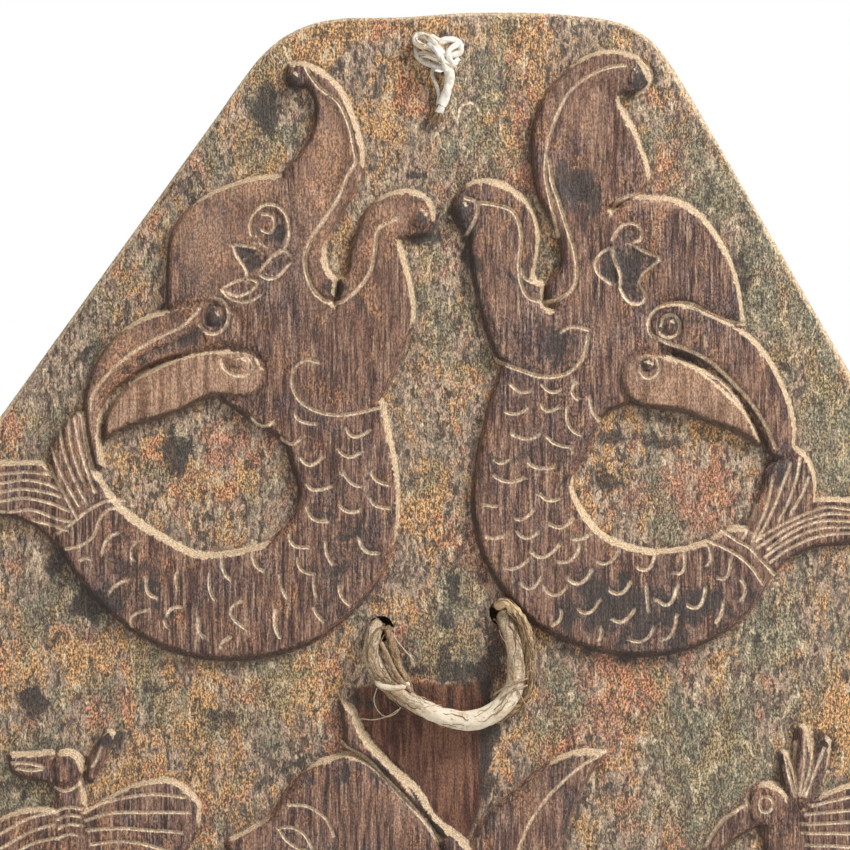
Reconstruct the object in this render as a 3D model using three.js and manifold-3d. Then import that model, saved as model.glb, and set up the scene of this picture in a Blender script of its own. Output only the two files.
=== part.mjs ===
// A carved wooden wall panel that holds a kris: two confronted elephant-headed fish, a figure
// with a headdress, two birds, and a cord sling for the scabbard in the middle.
// Millimetres, +Z up. The flat back lies in the plane y = 0, the carved front faces -Y, and the
// origin is the middle of the back.

import * as THREE from 'three';
import { mergeVertices } from 'three/addons/utils/BufferGeometryUtils.js';
import Module from 'manifold-3d';

// Driving dimensions
const PANEL_WIDTH = 432;
const PANEL_THICKNESS = 20;
const FRONT_EDGE_WEAR = 1.6;
const RELIEF = 5.4;
const RELIEF_ROUND = 3;
const LAYER = 1.1;
const LAYER_ROUND = 0.8;
const GROOVE_WIDTH = 1.5;
const GROOVE_DEPTH = 1;
const HOLLOW_DEPTH = 4;
const SLING_DIAMETER = 6;
const STRAND_DIAMETER = 3.4;
const HANGING_DIAMETER = 3.2;
const CORD_GAP = 0.3;

// How closely straight stretches follow the curves
const CURVE_STEP = 2.5;
const CURVE_TOLERANCE = 0.6;
const WELD = 1e-4;

// The front was set out on a squared drawing, with x to the right and y downwards.
const SQUARES_ACROSS = 1080;
const DRAWING_MIDDLE = { x: 445, y: 732 };
const SQUARE = PANEL_WIDTH / SQUARES_ACROSS;

const across = (x) => (x - DRAWING_MIDDLE.x) * SQUARE;
const upward = (y) => (DRAWING_MIDDLE.y - y) * SQUARE;

const wasm = await Module();
wasm.setup();

// Solids

function solidOf(geometry) {
  geometry.deleteAttribute('normal');
  geometry.deleteAttribute('uv');
  const welded = mergeVertices(geometry, WELD);
  return new wasm.Manifold(new wasm.Mesh({
    numProp: 3,
    vertProperties: new Float32Array(welded.attributes.position.array),
    triVerts: new Uint32Array(welded.index.array),
  }));
}

function geometryOf(solid) {
  const mesh = solid.getMesh();
  const geometry = new THREE.BufferGeometry();
  geometry.setAttribute('position', new THREE.BufferAttribute(mesh.vertProperties, 3));
  geometry.setIndex(new THREE.BufferAttribute(mesh.triVerts, 1));
  return geometry;
}

// A flat outline given solid depth. Depths are measured from the back towards the viewer, and
// round is how far the two end faces draw in.
function slice(outline, from, to, round = 0) {
  const geometry = new THREE.ExtrudeGeometry(new THREE.Shape(outline), {
    depth: to - from - 2 * round,
    bevelEnabled: round > 0,
    bevelThickness: round,
    bevelSize: round,
    bevelOffset: -round,
    bevelSegments: 1,
  });
  geometry.translate(0, 0, from + round);
  geometry.rotateX(Math.PI / 2);
  return solidOf(geometry);
}

// Outlines

function distanceToChord(point, start, end) {
  const chord = new THREE.Vector2(end.x - start.x, end.y - start.y);
  const away = new THREE.Vector2(point.x - start.x, point.y - start.y);
  const along = THREE.MathUtils.clamp(away.dot(chord) / Math.max(chord.lengthSq(), WELD), 0, 1);
  return away.addScaledVector(chord, -along).length();
}

// Keeps only the points that a line needs to stay within the tolerance of its curve.
function thinned(line) {
  if (line.length < 3) return line;
  const start = line[0];
  const end = line[line.length - 1];
  const distances = line.map((point) => distanceToChord(point, start, end));
  const farthest = distances.indexOf(Math.max(...distances));
  if (distances[farthest] < CURVE_TOLERANCE) return [start, end];
  return [...thinned(line.slice(0, farthest + 1)).slice(0, -1), ...thinned(line.slice(farthest))];
}

// A smooth line through drawing points [x, y, half width]; two points alone give a straight one.
function smoothLine(points) {
  const placed = points.map(([x, y, half = 0]) => new THREE.Vector3(across(x), upward(y), half * SQUARE));
  if (placed.length === 2) return placed;
  const curve = new THREE.CatmullRomCurve3(placed, false, 'centripetal');
  return curve.getSpacedPoints(Math.ceil(curve.getLength() / CURVE_STEP));
}

// A closed outline made of smooth lines that meet at corners.
function outline(lines) {
  return lines.flatMap((line) => thinned(smoothLine(line)).slice(0, -1))
    .map(({ x, y }) => new THREE.Vector2(x, y));
}

// The outline of a brush stroke along knots [x, y, half width]. The ends are round, or with
// capSteps 2 pointed.
function stroke(knots, capSteps = 4) {
  const spine = smoothLine(knots);
  const last = spine.length - 1;
  const sideways = spine.map((_, i) => {
    const before = spine[Math.max(i - 1, 0)];
    const after = spine[Math.min(i + 1, last)];
    return new THREE.Vector2(before.y - after.y, after.x - before.x).normalize();
  });
  const offset = (i, side) => new THREE.Vector2(
    spine[i].x + side * sideways[i].x * spine[i].z,
    spine[i].y + side * sideways[i].y * spine[i].z,
  );
  const roundEnd = (i, side) => {
    const middle = new THREE.Vector2(spine[i].x, spine[i].y);
    return Array.from({ length: capSteps - 1 }, (_, k) => (
      offset(i, side).rotateAround(middle, -Math.PI * (k + 1) / capSteps)
    ));
  };
  // On the inside of a tight bend the offset points fall within the stroke and are left out.
  const onEdge = (point) => spine.every((knot) => Math.hypot(point.x - knot.x, point.y - knot.y) > 0.985 * knot.z);
  const left = spine.map((_, i) => offset(i, 1)).filter(onEdge);
  const right = spine.map((_, i) => offset(i, -1)).filter(onEdge).reverse();
  return [...thinned(left), ...roundEnd(last, 1), ...thinned(right), ...roundEnd(0, -1)];
}

function oval([x, y], [halfWide, halfHigh], sides = 14) {
  return Array.from({ length: sides }, (_, i) => {
    const turn = 2 * Math.PI * i / sides;
    const reach = new THREE.Vector2(Math.cos(turn) * halfWide, Math.sin(turn) * halfHigh);
    return new THREE.Vector2(across(x), upward(y)).addScaledVector(reach, SQUARE);
  });
}

// Carving: a form stands up from the ground, a detail lies on a form, a groove is cut into it.

const GROUND = PANEL_THICKNESS;
const form = (shape, extra = 0, round = RELIEF_ROUND) => (
  slice(shape, GROUND - round - 1, GROUND + RELIEF + extra, round)
);
const detail = (shape, layers = 1) => (
  slice(shape, GROUND - 1, GROUND + RELIEF + layers * LAYER, LAYER_ROUND)
);
// A groove is cut GROOVE_DEPTH into the flat top of a form.
const groove = (line) => {
  const knots = line.map(([x, y]) => [x, y, GROOVE_WIDTH / 2 / SQUARE]);
  return slice(stroke(knots, 2), GROUND + RELIEF - GROOVE_DEPTH, GROUND + 2 * RELIEF);
};

// The two elephant-headed fish. Both have the same forms, each drawn in its own place.

const LEFT_CREATURE = {
  body: [
    [328, 395, 55], [338, 440, 54], [349, 490, 52], [340, 540, 55], [297, 588, 57],
    [244, 605, 57], [188, 603, 53], [137, 575, 49], [102, 543, 42], [86, 522, 38],
  ],
  head: [
    [[283, 172], [250, 177], [220, 187], [190, 204], [170, 232], [165, 275], [165, 308]],
    [[165, 308], [190, 360], [222, 402]],
    [[222, 402], [250, 422], [278, 440], [294, 458]],
    [[294, 458], [345, 440]],
    [[345, 440], [345, 320]],
    [[345, 320], [320, 264], [294, 166]],
    [[294, 166], [283, 172]],
  ],
  trunk: [
    [215, 328, 26], [178, 333, 26], [139, 346, 24], [118, 363, 20], [102, 383, 15],
    [94, 403, 11], [93, 428, 8], [98, 464, 6],
  ],
  tusk: [
    [240, 374, 25], [205, 374, 24], [168, 389, 26], [135, 405, 20], [117, 420, 12], [107, 434, 5],
  ],
  crest: [
    [[287, 63], [301, 61], [322, 70], [343, 90], [358, 122], [365, 158], [360, 182], [348, 207],
      [333, 230], [326, 252], [330, 270], [338, 278]],
    [[338, 278], [334, 302], [312, 292], [304, 262]],
    [[304, 262], [281, 172]],
    [[281, 172], [296, 155], [308, 138], [314, 118], [313, 100], [306, 88]],
    [[306, 88], [295, 90], [284, 82], [287, 63]],
  ],
  ear: [
    [[338, 278], [345, 272], [348, 252], [355, 230], [364, 210], [380, 196], [402, 188],
      [422, 192], [434, 206], [435, 224], [426, 237], [402, 240]],
    [[402, 240], [408, 265], [415, 298], [415, 322], [404, 352], [394, 378], [379, 409]],
    [[379, 409], [350, 416], [318, 411], [301, 401], [293, 384], [298, 367], [312, 360]],
    [[312, 360], [318, 325], [334, 302], [338, 278]],
  ],
  crestKnob: [[294, 78], [10, 11]],
  earKnob: [[420, 219], [15, 18]],
  eye: [oval([270, 229], [18, 24])],
  trunkCurl: [[214, 318], [13, 14]],
  tuskCurl: [[239, 363], [15, 12]],
  collar: [[56, 541, 5], [80, 534, 6], [98, 513, 6], [121, 503, 5]],
  upperTail: [
    [[82, 526], [62, 500], [49, 468], [52, 444], [64, 422], [80, 410], [88, 414]],
    [[88, 414], [92, 440], [98, 470], [110, 492], [122, 503]],
    [[122, 503], [82, 526]],
  ],
  lowerTail: [
    [[52, 470], [44, 462], [10, 461], [-20, 464], [-38, 478]],
    [[-38, 478], [-36, 500], [-15, 512], [15, 519], [38, 530], [53, 546]],
    [[53, 546], [84, 524]],
    [[84, 524], [52, 470]],
  ],
  grooves: [
    [[320, 86], [340, 102], [350, 130], [356, 157], [345, 182], [318, 228], [305, 262], [315, 290],
      [334, 303], [354, 293], [371, 274], [376, 240], [386, 224], [398, 219]],
    [[222, 300], [196, 318], [160, 337], [122, 362], [98, 388], [92, 412]],
  ],
};

const RIGHT_CREATURE = {
  body: [
    [552, 385, 56], [541, 420, 57], [527, 460, 52], [523, 500, 53], [533, 534, 57],
    [566, 577, 59], [617, 599, 57], [665, 602, 54], [712, 586, 47], [740, 562, 37],
  ],
  head: [
    [[612, 208], [628, 196], [655, 195], [682, 200], [706, 217], [726, 246], [739, 280], [746, 324]],
    [[746, 324], [715, 375], [660, 408], [628, 405]],
    [[628, 405], [604, 416], [588, 438], [577, 462]],
    [[577, 462], [540, 440]],
    [[540, 440], [545, 320]],
    [[545, 320], [566, 280], [600, 200]],
    [[600, 200], [612, 208]],
  ],
  trunk: [
    [674, 326, 25], [708, 342, 28], [737, 364, 30], [761, 394, 25], [776, 426, 20], [781, 446, 15],
  ],
  tusk: [
    [648, 380, 28], [690, 388, 26], [721, 406, 21], [741, 422, 12], [756, 439, 5],
  ],
  crest: [
    [[641, 57], [625, 51], [605, 49], [585, 55], [558, 76], [541, 98], [531, 128], [530, 160],
      [536, 194], [550, 221], [559, 245], [558, 266], [546, 282]],
    [[546, 282], [546, 304], [570, 297], [578, 270]],
    [[578, 270], [612, 208]],
    [[612, 208], [640, 196], [650, 180], [644, 150], [632, 122], [621, 104]],
    [[621, 104], [622, 95], [640, 96], [651, 82], [641, 57]],
  ],
  ear: [
    [[546, 282], [536, 278], [539, 255], [540, 230], [532, 206], [515, 189], [492, 178],
      [470, 181], [455, 194], [450, 211], [457, 228], [467, 236]],
    [[467, 236], [470, 270], [477, 305], [486, 335], [497, 361]],
    [[497, 361], [520, 369], [545, 377], [570, 373], [585, 356], [588, 326]],
    [[588, 326], [568, 312], [546, 304], [546, 282]],
  ],
  crestKnob: [[634, 78], [12, 16]],
  earKnob: [[463, 212], [13, 16]],
  eye: [
    oval([627, 236], [14, 13]),
    outline([[[611, 242], [641, 250], [661, 259]], [[661, 259], [645, 272], [638, 286]],
      [[638, 286], [646, 297], [634, 305], [620, 290]], [[620, 290], [611, 242]]]),
    outline([[[610, 248], [596, 257], [597, 273], [611, 284]], [[611, 284], [617, 266], [610, 248]]]),
  ],
  trunkCurl: [[670, 326], [11, 13]],
  tuskCurl: [[648, 366], [12, 11]],
  collar: [[713, 538, 5], [735, 549, 6], [753, 565, 7], [770, 582, 5]],
  upperTail: [
    [[722, 531], [744, 530], [752, 506], [762, 484], [763, 469], [778, 453], [795, 446]],
    [[795, 446], [808, 456], [817, 478], [816, 500]],
    [[816, 500], [775, 573]],
    [[775, 573], [722, 531]],
  ],
  lowerTail: [
    [[785, 512], [816, 498], [850, 498], [885, 503], [908, 517]],
    [[908, 517], [893, 535], [850, 545], [815, 549], [795, 557], [775, 573]],
    [[775, 573], [752, 545]],
    [[752, 545], [785, 512]],
  ],
  grooves: [
    [[622, 66], [586, 79], [563, 103], [549, 140], [550, 176], [566, 225], [577, 270], [568, 294],
      [547, 302], [525, 295], [519, 262], [519, 220], [500, 206], [479, 204]],
    [[744, 324], [704, 309], [672, 303], [649, 318], [656, 338], [690, 351], [724, 375],
      [756, 411], [775, 448]],
  ],
};

function creature(drawing) {
  return {
    added: [
      form(stroke(drawing.body)),
      form(outline(drawing.head), 0.3),
      form(outline(drawing.crest), 0.6, 2),
      form(outline(drawing.ear), 0.9, 2),
      form(stroke(drawing.trunk), 0.7, 2),
      form(stroke(drawing.tusk), 1.2, 1.5),
      form(outline(drawing.upperTail), -0.6, 1.5),
      form(outline(drawing.lowerTail), -0.9, 1.5),
      detail(stroke(drawing.collar)),
      detail(oval(...drawing.crestKnob), 1.6),
      detail(oval(...drawing.earKnob), 1.9),
      detail(oval(...drawing.trunkCurl, 10), 1.4),
      detail(oval(...drawing.tuskCurl, 10), 1.9),
      ...drawing.eye.map((shape) => detail(shape)),
    ],
    grooves: drawing.grooves.map((line) => groove(line)),
  };
}

// The birds. The left one spreads its wings to both sides, the right one has a feathered crest.

const LEFT_BIRD = [
  oval([66, 769], [20, 21]),
  outline([[[54, 750], [28, 753], [8, 753]], [[8, 753], [10, 772], [56, 786]], [[56, 786], [54, 750]]]),
  stroke([[91, 776, 6], [97, 760, 9], [104, 744, 8], [110, 735, 5]]),
  stroke([[68, 780, 15], [71, 810, 17], [72, 850, 26], [68, 890, 30], [62, 930, 22]]),
  outline([[[80, 812], [104, 798], [140, 782], [175, 780], [202, 803]],
    [[202, 803], [198, 834], [170, 868], [120, 890], [72, 884]], [[72, 884], [80, 812]]]),
  outline([[[60, 808], [24, 809], [-30, 832], [-70, 862]],
    [[-70, 862], [-56, 888], [-10, 900], [72, 884]], [[72, 884], [60, 808]]]),
  outline([[[44, 925], [22, 980], [8, 1032]], [[8, 1032], [48, 1046], [92, 1030]],
    [[92, 1030], [84, 980], [80, 925]]]),
];

const RIGHT_BIRD = [
  oval([768, 806], [25, 26]),
  stroke([[754, 812, 16], [728, 831, 12], [708, 856, 8], [699, 878, 5]]),
  stroke([[797, 802, 5], [789, 778, 9], [784, 755, 5]]),
  stroke([[800, 802, 5], [804, 765, 10], [802, 730, 6]]),
  stroke([[804, 804, 5], [817, 770, 10], [827, 742, 5]]),
  stroke([[784, 815, 22], [795, 850, 32], [806, 895, 38], [812, 940, 30]]),
  outline([[[798, 812], [835, 788], [880, 780], [938, 802]],
    [[938, 802], [932, 842], [890, 876], [815, 890]], [[815, 890], [798, 812]]]),
  outline([[[788, 950], [806, 1000], [812, 1050]], [[812, 1050], [850, 1056], [884, 1036]],
    [[884, 1036], [860, 985], [838, 935]]]),
];

const bird = (drawing) => drawing.map((shape, i) => form(shape, -0.4 - 0.07 * i, 1.4));

// The middle figure. Its head has a plain profile on even proportions: the hairline, the brow,
// the base of the nose and the chin are a third of the face apart. The head is tipped back.

const FACE = { hairline: { x: 346, y: 751 }, third: 78, tipped: THREE.MathUtils.degToRad(35) };

// Places on the face are [forward, down] from the hairline, in thirds of the face.
function facePoint([forward, down]) {
  const { hairline, third, tipped } = FACE;
  return [
    hairline.x - third * (forward * Math.cos(tipped) + down * Math.sin(tipped)),
    hairline.y - third * (forward * Math.sin(tipped) - down * Math.cos(tipped)),
  ];
}

const FACE_PROFILE = [
  [[0, 0], [0.26, 0.35], [0.36, 0.8], [0.36, 1], [0.32, 1.14], [0.5, 1.6], [0.62, 1.86], [0.42, 2]],
  [[0.42, 2], [0.5, 2.2], [0.42, 2.33]],
  [[0.42, 2.33], [0.47, 2.44], [0.36, 2.58], [0.41, 2.8], [0.26, 3], [0, 3]],
  [[0, 3], [-0.5, 2.78], [-0.95, 2.62]],
  [[-0.95, 2.62], [-1.8, 2.6], [-2.7, 1.8]],
  [[-2.7, 1.8], [-2.4, 0.8], [-1.75, 0.25], [-1, 0], [-0.3, -0.1], [0, 0]],
];
const EYE = [[0.12, 1.28], [-0.1, 1.14], [-0.32, 1.2]];
const LIPS = [[0.4, 2.33], [0.12, 2.3]];

const FIGURE = {
  headband: [
    [[338, 698], [354, 708], [366, 733], [390, 761], [420, 789], [440, 820], [470, 845], [490, 900]],
    [[490, 900], [455, 905]],
    [[455, 905], [438, 838], [404, 797], [372, 764], [344, 748]],
    [[344, 748], [338, 698]],
  ],
  leaf: [
    [[468, 843], [486, 812], [510, 792], [544, 764], [578, 749], [611, 750]],
    [[611, 750], [590, 780], [572, 820], [562, 860], [540, 930], [500, 1000]],
    [[500, 1000], [450, 960], [452, 900], [468, 843]],
  ],
  torso: [[400, 960, 40], [424, 1005, 62], [430, 1070, 56], [434, 1130, 46], [438, 1190, 56]],
  shoulders: [[318, 1024, 24], [370, 1000, 30], [430, 992, 34], [492, 1000, 30], [545, 1022, 24]],
  leftArm: [[318, 1026, 22], [286, 1080, 19], [262, 1136, 17], [308, 1168, 15], [352, 1180, 17]],
  rightArm: [[546, 1026, 22], [584, 1078, 19], [606, 1136, 17], [562, 1172, 15], [520, 1186, 17]],
  skirt: [
    [[372, 1176], [352, 1260], [338, 1340], [330, 1390]],
    [[330, 1390], [440, 1402], [548, 1388]],
    [[548, 1388], [540, 1320], [520, 1240], [502, 1176]],
    [[502, 1176], [372, 1176]],
  ],
  belt: [[368, 1184, 9], [437, 1196, 10], [506, 1184, 9]],
  leftFoot: [[352, 1398, 12], [320, 1404, 12], [286, 1408, 9]],
  rightFoot: [[512, 1396, 12], [480, 1404, 12], [446, 1408, 9]],
  grooves: [
    EYE.map(facePoint),
    LIPS.map(facePoint),
    [[604, 756], [570, 782], [536, 826], [510, 900]],
  ],
};

function middleFigure() {
  return {
    added: [
      form(outline(FACE_PROFILE.map((line) => line.map(facePoint))), 0.2, 1.4),
      form(outline(FIGURE.headband), 0.9, 1.5),
      form(outline(FIGURE.leaf), -0.2, 2),
      form(stroke(FIGURE.torso), -0.4),
      form(stroke(FIGURE.shoulders), 0.1),
      form(stroke(FIGURE.leftArm), 0.6, 2),
      form(stroke(FIGURE.rightArm), 0.6, 2),
      form(outline(FIGURE.skirt), -0.1),
      form(stroke(FIGURE.leftFoot), -0.7, 2),
      form(stroke(FIGURE.rightFoot), -0.7, 2),
      detail(stroke(FIGURE.belt)),
    ],
    grooves: FIGURE.grooves.map((line) => groove(line)),
  };
}

// A scroll of foliage fills each lower corner; side is -1 on the left and 1 on the right.

function foliage(side) {
  const mirrored = (knots) => knots.map(([x, y, half]) => [DRAWING_MIDDLE.x + side * x, y, half]);
  const stem = [[420, 1100, 6], [380, 1160, 9], [326, 1210, 10], [262, 1248, 9], [204, 1300, 7], [178, 1368, 6]];
  const leaves = [
    [[340, 1200, 6], [308, 1164, 15], [262, 1148, 5]],
    [[270, 1245, 6], [240, 1212, 14], [196, 1206, 5]],
  ];
  return [stem, ...leaves].map((knots, i) => form(stroke(mirrored(knots)), -1.2 - 0.05 * i, 1.2));
}

// The plank itself

const PLANK_OUTLINE = [
  [[345, 17], [405, 16], [465, 12], [540, 12], [600, 17]],
  [[600, 17], [626, 24], [652, 40], [672, 65], [694, 100]],
  [[694, 100], [972, 582]],
  [[972, 582], [982, 600], [985, 622]],
  [[985, 622], [985, 1010]],
  [[985, 1010], [982, 1028], [972, 1042]],
  [[972, 1042], [652, 1436]],
  [[652, 1436], [638, 1448], [616, 1452]],
  [[616, 1452], [280, 1452]],
  [[280, 1452], [258, 1448], [244, 1436]],
  [[244, 1436], [-82, 1042]],
  [[-82, 1042], [-92, 1028], [-95, 1010]],
  [[-95, 1010], [-95, 572]],
  [[-95, 572], [-92, 552], [-82, 529]],
  [[-82, 529], [217, 115]],
  [[217, 115], [240, 82], [262, 54], [285, 35], [315, 22], [345, 17]],
];

// The scooped hollow below the sling narrows to a point between the headband and the leaf.
const HOLLOW_OUTLINE = [
  [[350, 688], [395, 680], [445, 683], [491, 679]],
  [[491, 679], [492, 740], [488, 776], [481, 812], [468, 843]],
  [[468, 843], [440, 822], [416, 790], [384, 756], [360, 722], [350, 688]],
];

function hollow() {
  return slice(outline(HOLLOW_OUTLINE), GROUND - HOLLOW_DEPTH, GROUND + 2 * HOLLOW_DEPTH, HOLLOW_DEPTH - 0.5);
}

// Holes through the plank, and the pockets behind them that let the back lie flat on a wall

const HANGING_HOLE = { x: -2, z: 268, diameter: 7.8 };
const HANGING_POCKET = { width: 21, bottom: 260, top: 282.5, depth: 6.6 };
const SLING_HOLE_DIAMETER = 10.4;
const KNOT_POCKET = { diameter: 15, depth: 8.2 };
const SLING_HOLES = [
  { name: 'left', x: -25.6, z: 41.2, strandSide: new THREE.Vector2(0.954, -0.3) },
  { name: 'right', x: 22.8, z: 47.6, strandSide: new THREE.Vector2(-0.45, 0.893) },
];

function drill({ x, z }, diameter, from, to) {
  const length = to - from;
  const geometry = new THREE.CylinderGeometry(diameter / 2, diameter / 2, length, 20);
  geometry.translate(x, -(from + to) / 2, z);
  return solidOf(geometry);
}

function hangingPocket() {
  const { width, bottom, top, depth } = HANGING_POCKET;
  const geometry = new THREE.BoxGeometry(width, 2 * depth, top - bottom);
  geometry.translate(HANGING_HOLE.x, 0, (top + bottom) / 2);
  return solidOf(geometry);
}

function carvedPanel() {
  const edge = outline(PLANK_OUTLINE);
  const plank = slice(edge, 0, PANEL_THICKNESS - 2 * FRONT_EDGE_WEAR);
  const wornFront = slice(edge, PANEL_THICKNESS / 2, PANEL_THICKNESS, FRONT_EDGE_WEAR);
  const carvings = [creature(LEFT_CREATURE), creature(RIGHT_CREATURE), middleFigure()];
  const added = [
    ...carvings.flatMap((carving) => carving.added),
    ...bird(LEFT_BIRD),
    ...bird(RIGHT_BIRD),
    ...foliage(-1),
    ...foliage(1),
  ];
  const through = GROUND + 3 * RELIEF;
  const cuts = [
    drill(HANGING_HOLE, HANGING_HOLE.diameter, -1, through),
    hangingPocket(),
    ...SLING_HOLES.map((hole) => drill(hole, SLING_HOLE_DIAMETER, -1, through)),
    ...SLING_HOLES.map((hole) => drill(hole, KNOT_POCKET.diameter, -1, KNOT_POCKET.depth)),
  ];
  let panel = plank.add(wornFront).subtract(hollow());
  for (const shape of added) {
    panel = panel.add(shape);
  }
  for (const cut of [...carvings.flatMap((carving) => carving.grooves), ...cuts]) {
    panel = panel.subtract(cut);
  }
  return geometryOf(panel);
}

// Cords. Each is a round section led along a route through points [x, y, z].

function cord(route, diameter, steps) {
  const sides = diameter < 4 ? 8 : 10;
  const section = Array.from({ length: sides }, (_, i) => {
    const turn = 2 * Math.PI * i / sides;
    return new THREE.Vector2(Math.cos(turn), Math.sin(turn)).multiplyScalar(diameter / 2);
  });
  const path = new THREE.CatmullRomCurve3(route.map((point) => new THREE.Vector3(...point)), false, 'centripetal');
  return new THREE.ExtrudeGeometry(new THREE.Shape(section), { steps, bevelEnabled: false, extrudePath: path });
}

// Where the thick cord and the strand lie side by side in one sling hole
const CORDS_APART = (SLING_DIAMETER + STRAND_DIAMETER) / 2 + CORD_GAP;
const THICK_OFFSET = (SLING_HOLE_DIAMETER - SLING_DIAMETER) / 2 - CORD_GAP;

function cordPlace(hole, offset) {
  return { x: hole.x + hole.strandSide.x * offset, z: hole.z + hole.strandSide.y * offset };
}

const [LEFT_HOLE, RIGHT_HOLE] = SLING_HOLES;
const thickIn = (hole, y) => {
  const { x, z } = cordPlace(hole, -THICK_OFFSET);
  return [x, y, z];
};
const strandIn = (hole, y) => {
  const { x, z } = cordPlace(hole, CORDS_APART - THICK_OFFSET);
  return [x, y, z];
};
const CORD_END = -KNOT_POCKET.depth + 0.2;

const SLING_ROUTE = [
  thickIn(LEFT_HOLE, CORD_END), thickIn(LEFT_HOLE, -14), thickIn(LEFT_HOLE, -21),
  [-28.6, -25.6, 39], [-29.6, -27.8, 32.6], [-27.4, -28.2, 25.6], [-21.8, -28.4, 18.6],
  [-14, -28.6, 12.9], [-5, -28.8, 8.4], [4, -28.9, 5.4], [12, -28.9, 5.3], [18.8, -28.8, 8],
  [24.8, -28.6, 13], [28, -28.4, 20], [28.4, -28.2, 28], [27.2, -27.6, 36], [25.2, -25.4, 42],
  thickIn(RIGHT_HOLE, -21), thickIn(RIGHT_HOLE, -14), thickIn(RIGHT_HOLE, CORD_END),
];

const STRAND_ROUTE = [
  strandIn(RIGHT_HOLE, CORD_END), strandIn(RIGHT_HOLE, -14), strandIn(RIGHT_HOLE, -21.4),
  [24, -26, 51.8], [29, -27.2, 47.4], [32.4, -27.8, 41], [33.8, -28, 33.4], [33.8, -28, 25.6],
  [33, -27, 18], [29, -24.2, 10.6], [21, -23, 5.6], [12, -22.9, 3.6], [3, -22.9, 4], [-6, -23, 7.4],
  [-12.4, -23.6, 13.4], [-15.6, -25.4, 20.4], [-19.2, -26.2, 27.6], [-21, -25.6, 34.6],
  strandIn(LEFT_HOLE, -22), strandIn(LEFT_HOLE, -14), strandIn(LEFT_HOLE, CORD_END),
];

const HANGING_RUN_APART = HANGING_DIAMETER + 2 * CORD_GAP;
const HANGING_LOOP_HEIGHT = 11.6;

function hangingRoute() {
  const { x, z } = HANGING_HOLE;
  const half = HANGING_RUN_APART / 2;
  const side = (sign) => [
    [x + sign * half, -PANEL_THICKNESS, z], [x + sign * half, -14, z], [x + sign * half, -7.4, z],
    [x + sign * (half + 0.8), -3.6, z + 2.4], [x + sign * 4.7, -2.8, z + 5.6], [x + sign * 4, -2.7, z + 9.4],
  ];
  return [...side(-1), [x, -2.7, z + HANGING_LOOP_HEIGHT], ...side(1).reverse()];
}

// A ball pressed out of round, for the knots
function lump([x, y, z], [wide, deep, high], segments = 10) {
  const geometry = new THREE.SphereGeometry(1, segments, Math.round(segments * 0.6));
  geometry.scale(wide / 2, deep / 2, high / 2);
  geometry.translate(x, y, z);
  return solidOf(geometry);
}

// The hanging cord's knot is a flat bunch over the hole, and its tail hangs down to the left.
function hangingKnot() {
  const front = -(PANEL_THICKNESS + CORD_GAP);
  const tail = solidOf(cord([
    [1.4, front - 5.4, 266.5], [0.4, front - 5, 262.5], [-1.6, front - 3.6, 257], [-3.8, front - 3.2, 251],
    [-5.8, front - 3.1, 245.6],
  ], 5.8, 6));
  const bunch = lump([-6.6, front - 5, 273.4], [13.4, 9.4, 10.6])
    .add(lump([0.6, front - 5.4, 271.4], [12, 10.6, 13]))
    .add(tail);
  const wall = new THREE.BoxGeometry(80, 20, 80);
  wall.translate(0, front + 10, 262);
  return geometryOf(bunch.subtract(solidOf(wall)));
}

function stopperKnot(hole) {
  const thickness = KNOT_POCKET.depth - 0.2 - 3 * CORD_GAP;
  const middle = -(KNOT_POCKET.depth - 0.2 - CORD_GAP - thickness / 2);
  return geometryOf(lump([hole.x, middle, hole.z], [12.6, thickness, 12.6]));
}

// Materials

const finish = (color, roughness) => new THREE.MeshStandardMaterial({ color, roughness, metalness: 0 });
const agedWood = finish(0x6f4f3c, 0.75);
const cotton = finish(0xd9cfba, 0.95);
const wornCord = finish(0xbda588, 0.7);
const frayedCord = finish(0x9a7a50, 0.9);

function piece(name, geometry, material) {
  const mesh = new THREE.Mesh(geometry, material);
  mesh.name = name;
  return mesh;
}

const panel = new THREE.Group();
panel.add(
  piece('carved_panel', carvedPanel(), agedWood),
  piece('hanging_cord', cord(hangingRoute(), HANGING_DIAMETER, 22), cotton),
  piece('hanging_knot', hangingKnot(), cotton),
  piece('sling_cord', cord(SLING_ROUTE, SLING_DIAMETER, 25), wornCord),
  piece('sling_strand', cord(STRAND_ROUTE, STRAND_DIAMETER, 29), frayedCord),
  ...SLING_HOLES.map((hole) => piece(`sling_knot_${hole.name}`, stopperKnot(hole), wornCord)),
);

export default panel;
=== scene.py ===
import math

import bpy
import numpy as np
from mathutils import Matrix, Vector
from mathutils.geometry import delaunay_2d_cdt


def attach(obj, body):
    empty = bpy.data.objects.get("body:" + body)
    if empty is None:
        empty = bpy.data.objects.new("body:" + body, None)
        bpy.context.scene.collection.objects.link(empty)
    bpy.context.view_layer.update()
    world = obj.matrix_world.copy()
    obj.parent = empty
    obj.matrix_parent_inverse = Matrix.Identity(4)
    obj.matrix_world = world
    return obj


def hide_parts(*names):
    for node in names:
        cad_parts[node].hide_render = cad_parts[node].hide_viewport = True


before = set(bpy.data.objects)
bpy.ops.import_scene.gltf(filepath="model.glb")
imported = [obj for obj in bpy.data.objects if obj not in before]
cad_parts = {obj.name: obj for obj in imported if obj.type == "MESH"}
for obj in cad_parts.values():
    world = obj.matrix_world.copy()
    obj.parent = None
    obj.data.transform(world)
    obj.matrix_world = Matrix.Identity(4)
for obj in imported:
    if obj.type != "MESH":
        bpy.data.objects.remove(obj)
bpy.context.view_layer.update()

# Driving dimensions, in metres
SQUARE = 0.0004
THICKNESS = 0.020
SLING_DIAMETER = 0.0060
STRAND_DIAMETER = 0.0034
HANGING_DIAMETER = 0.0032
MM = 0.001

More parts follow.
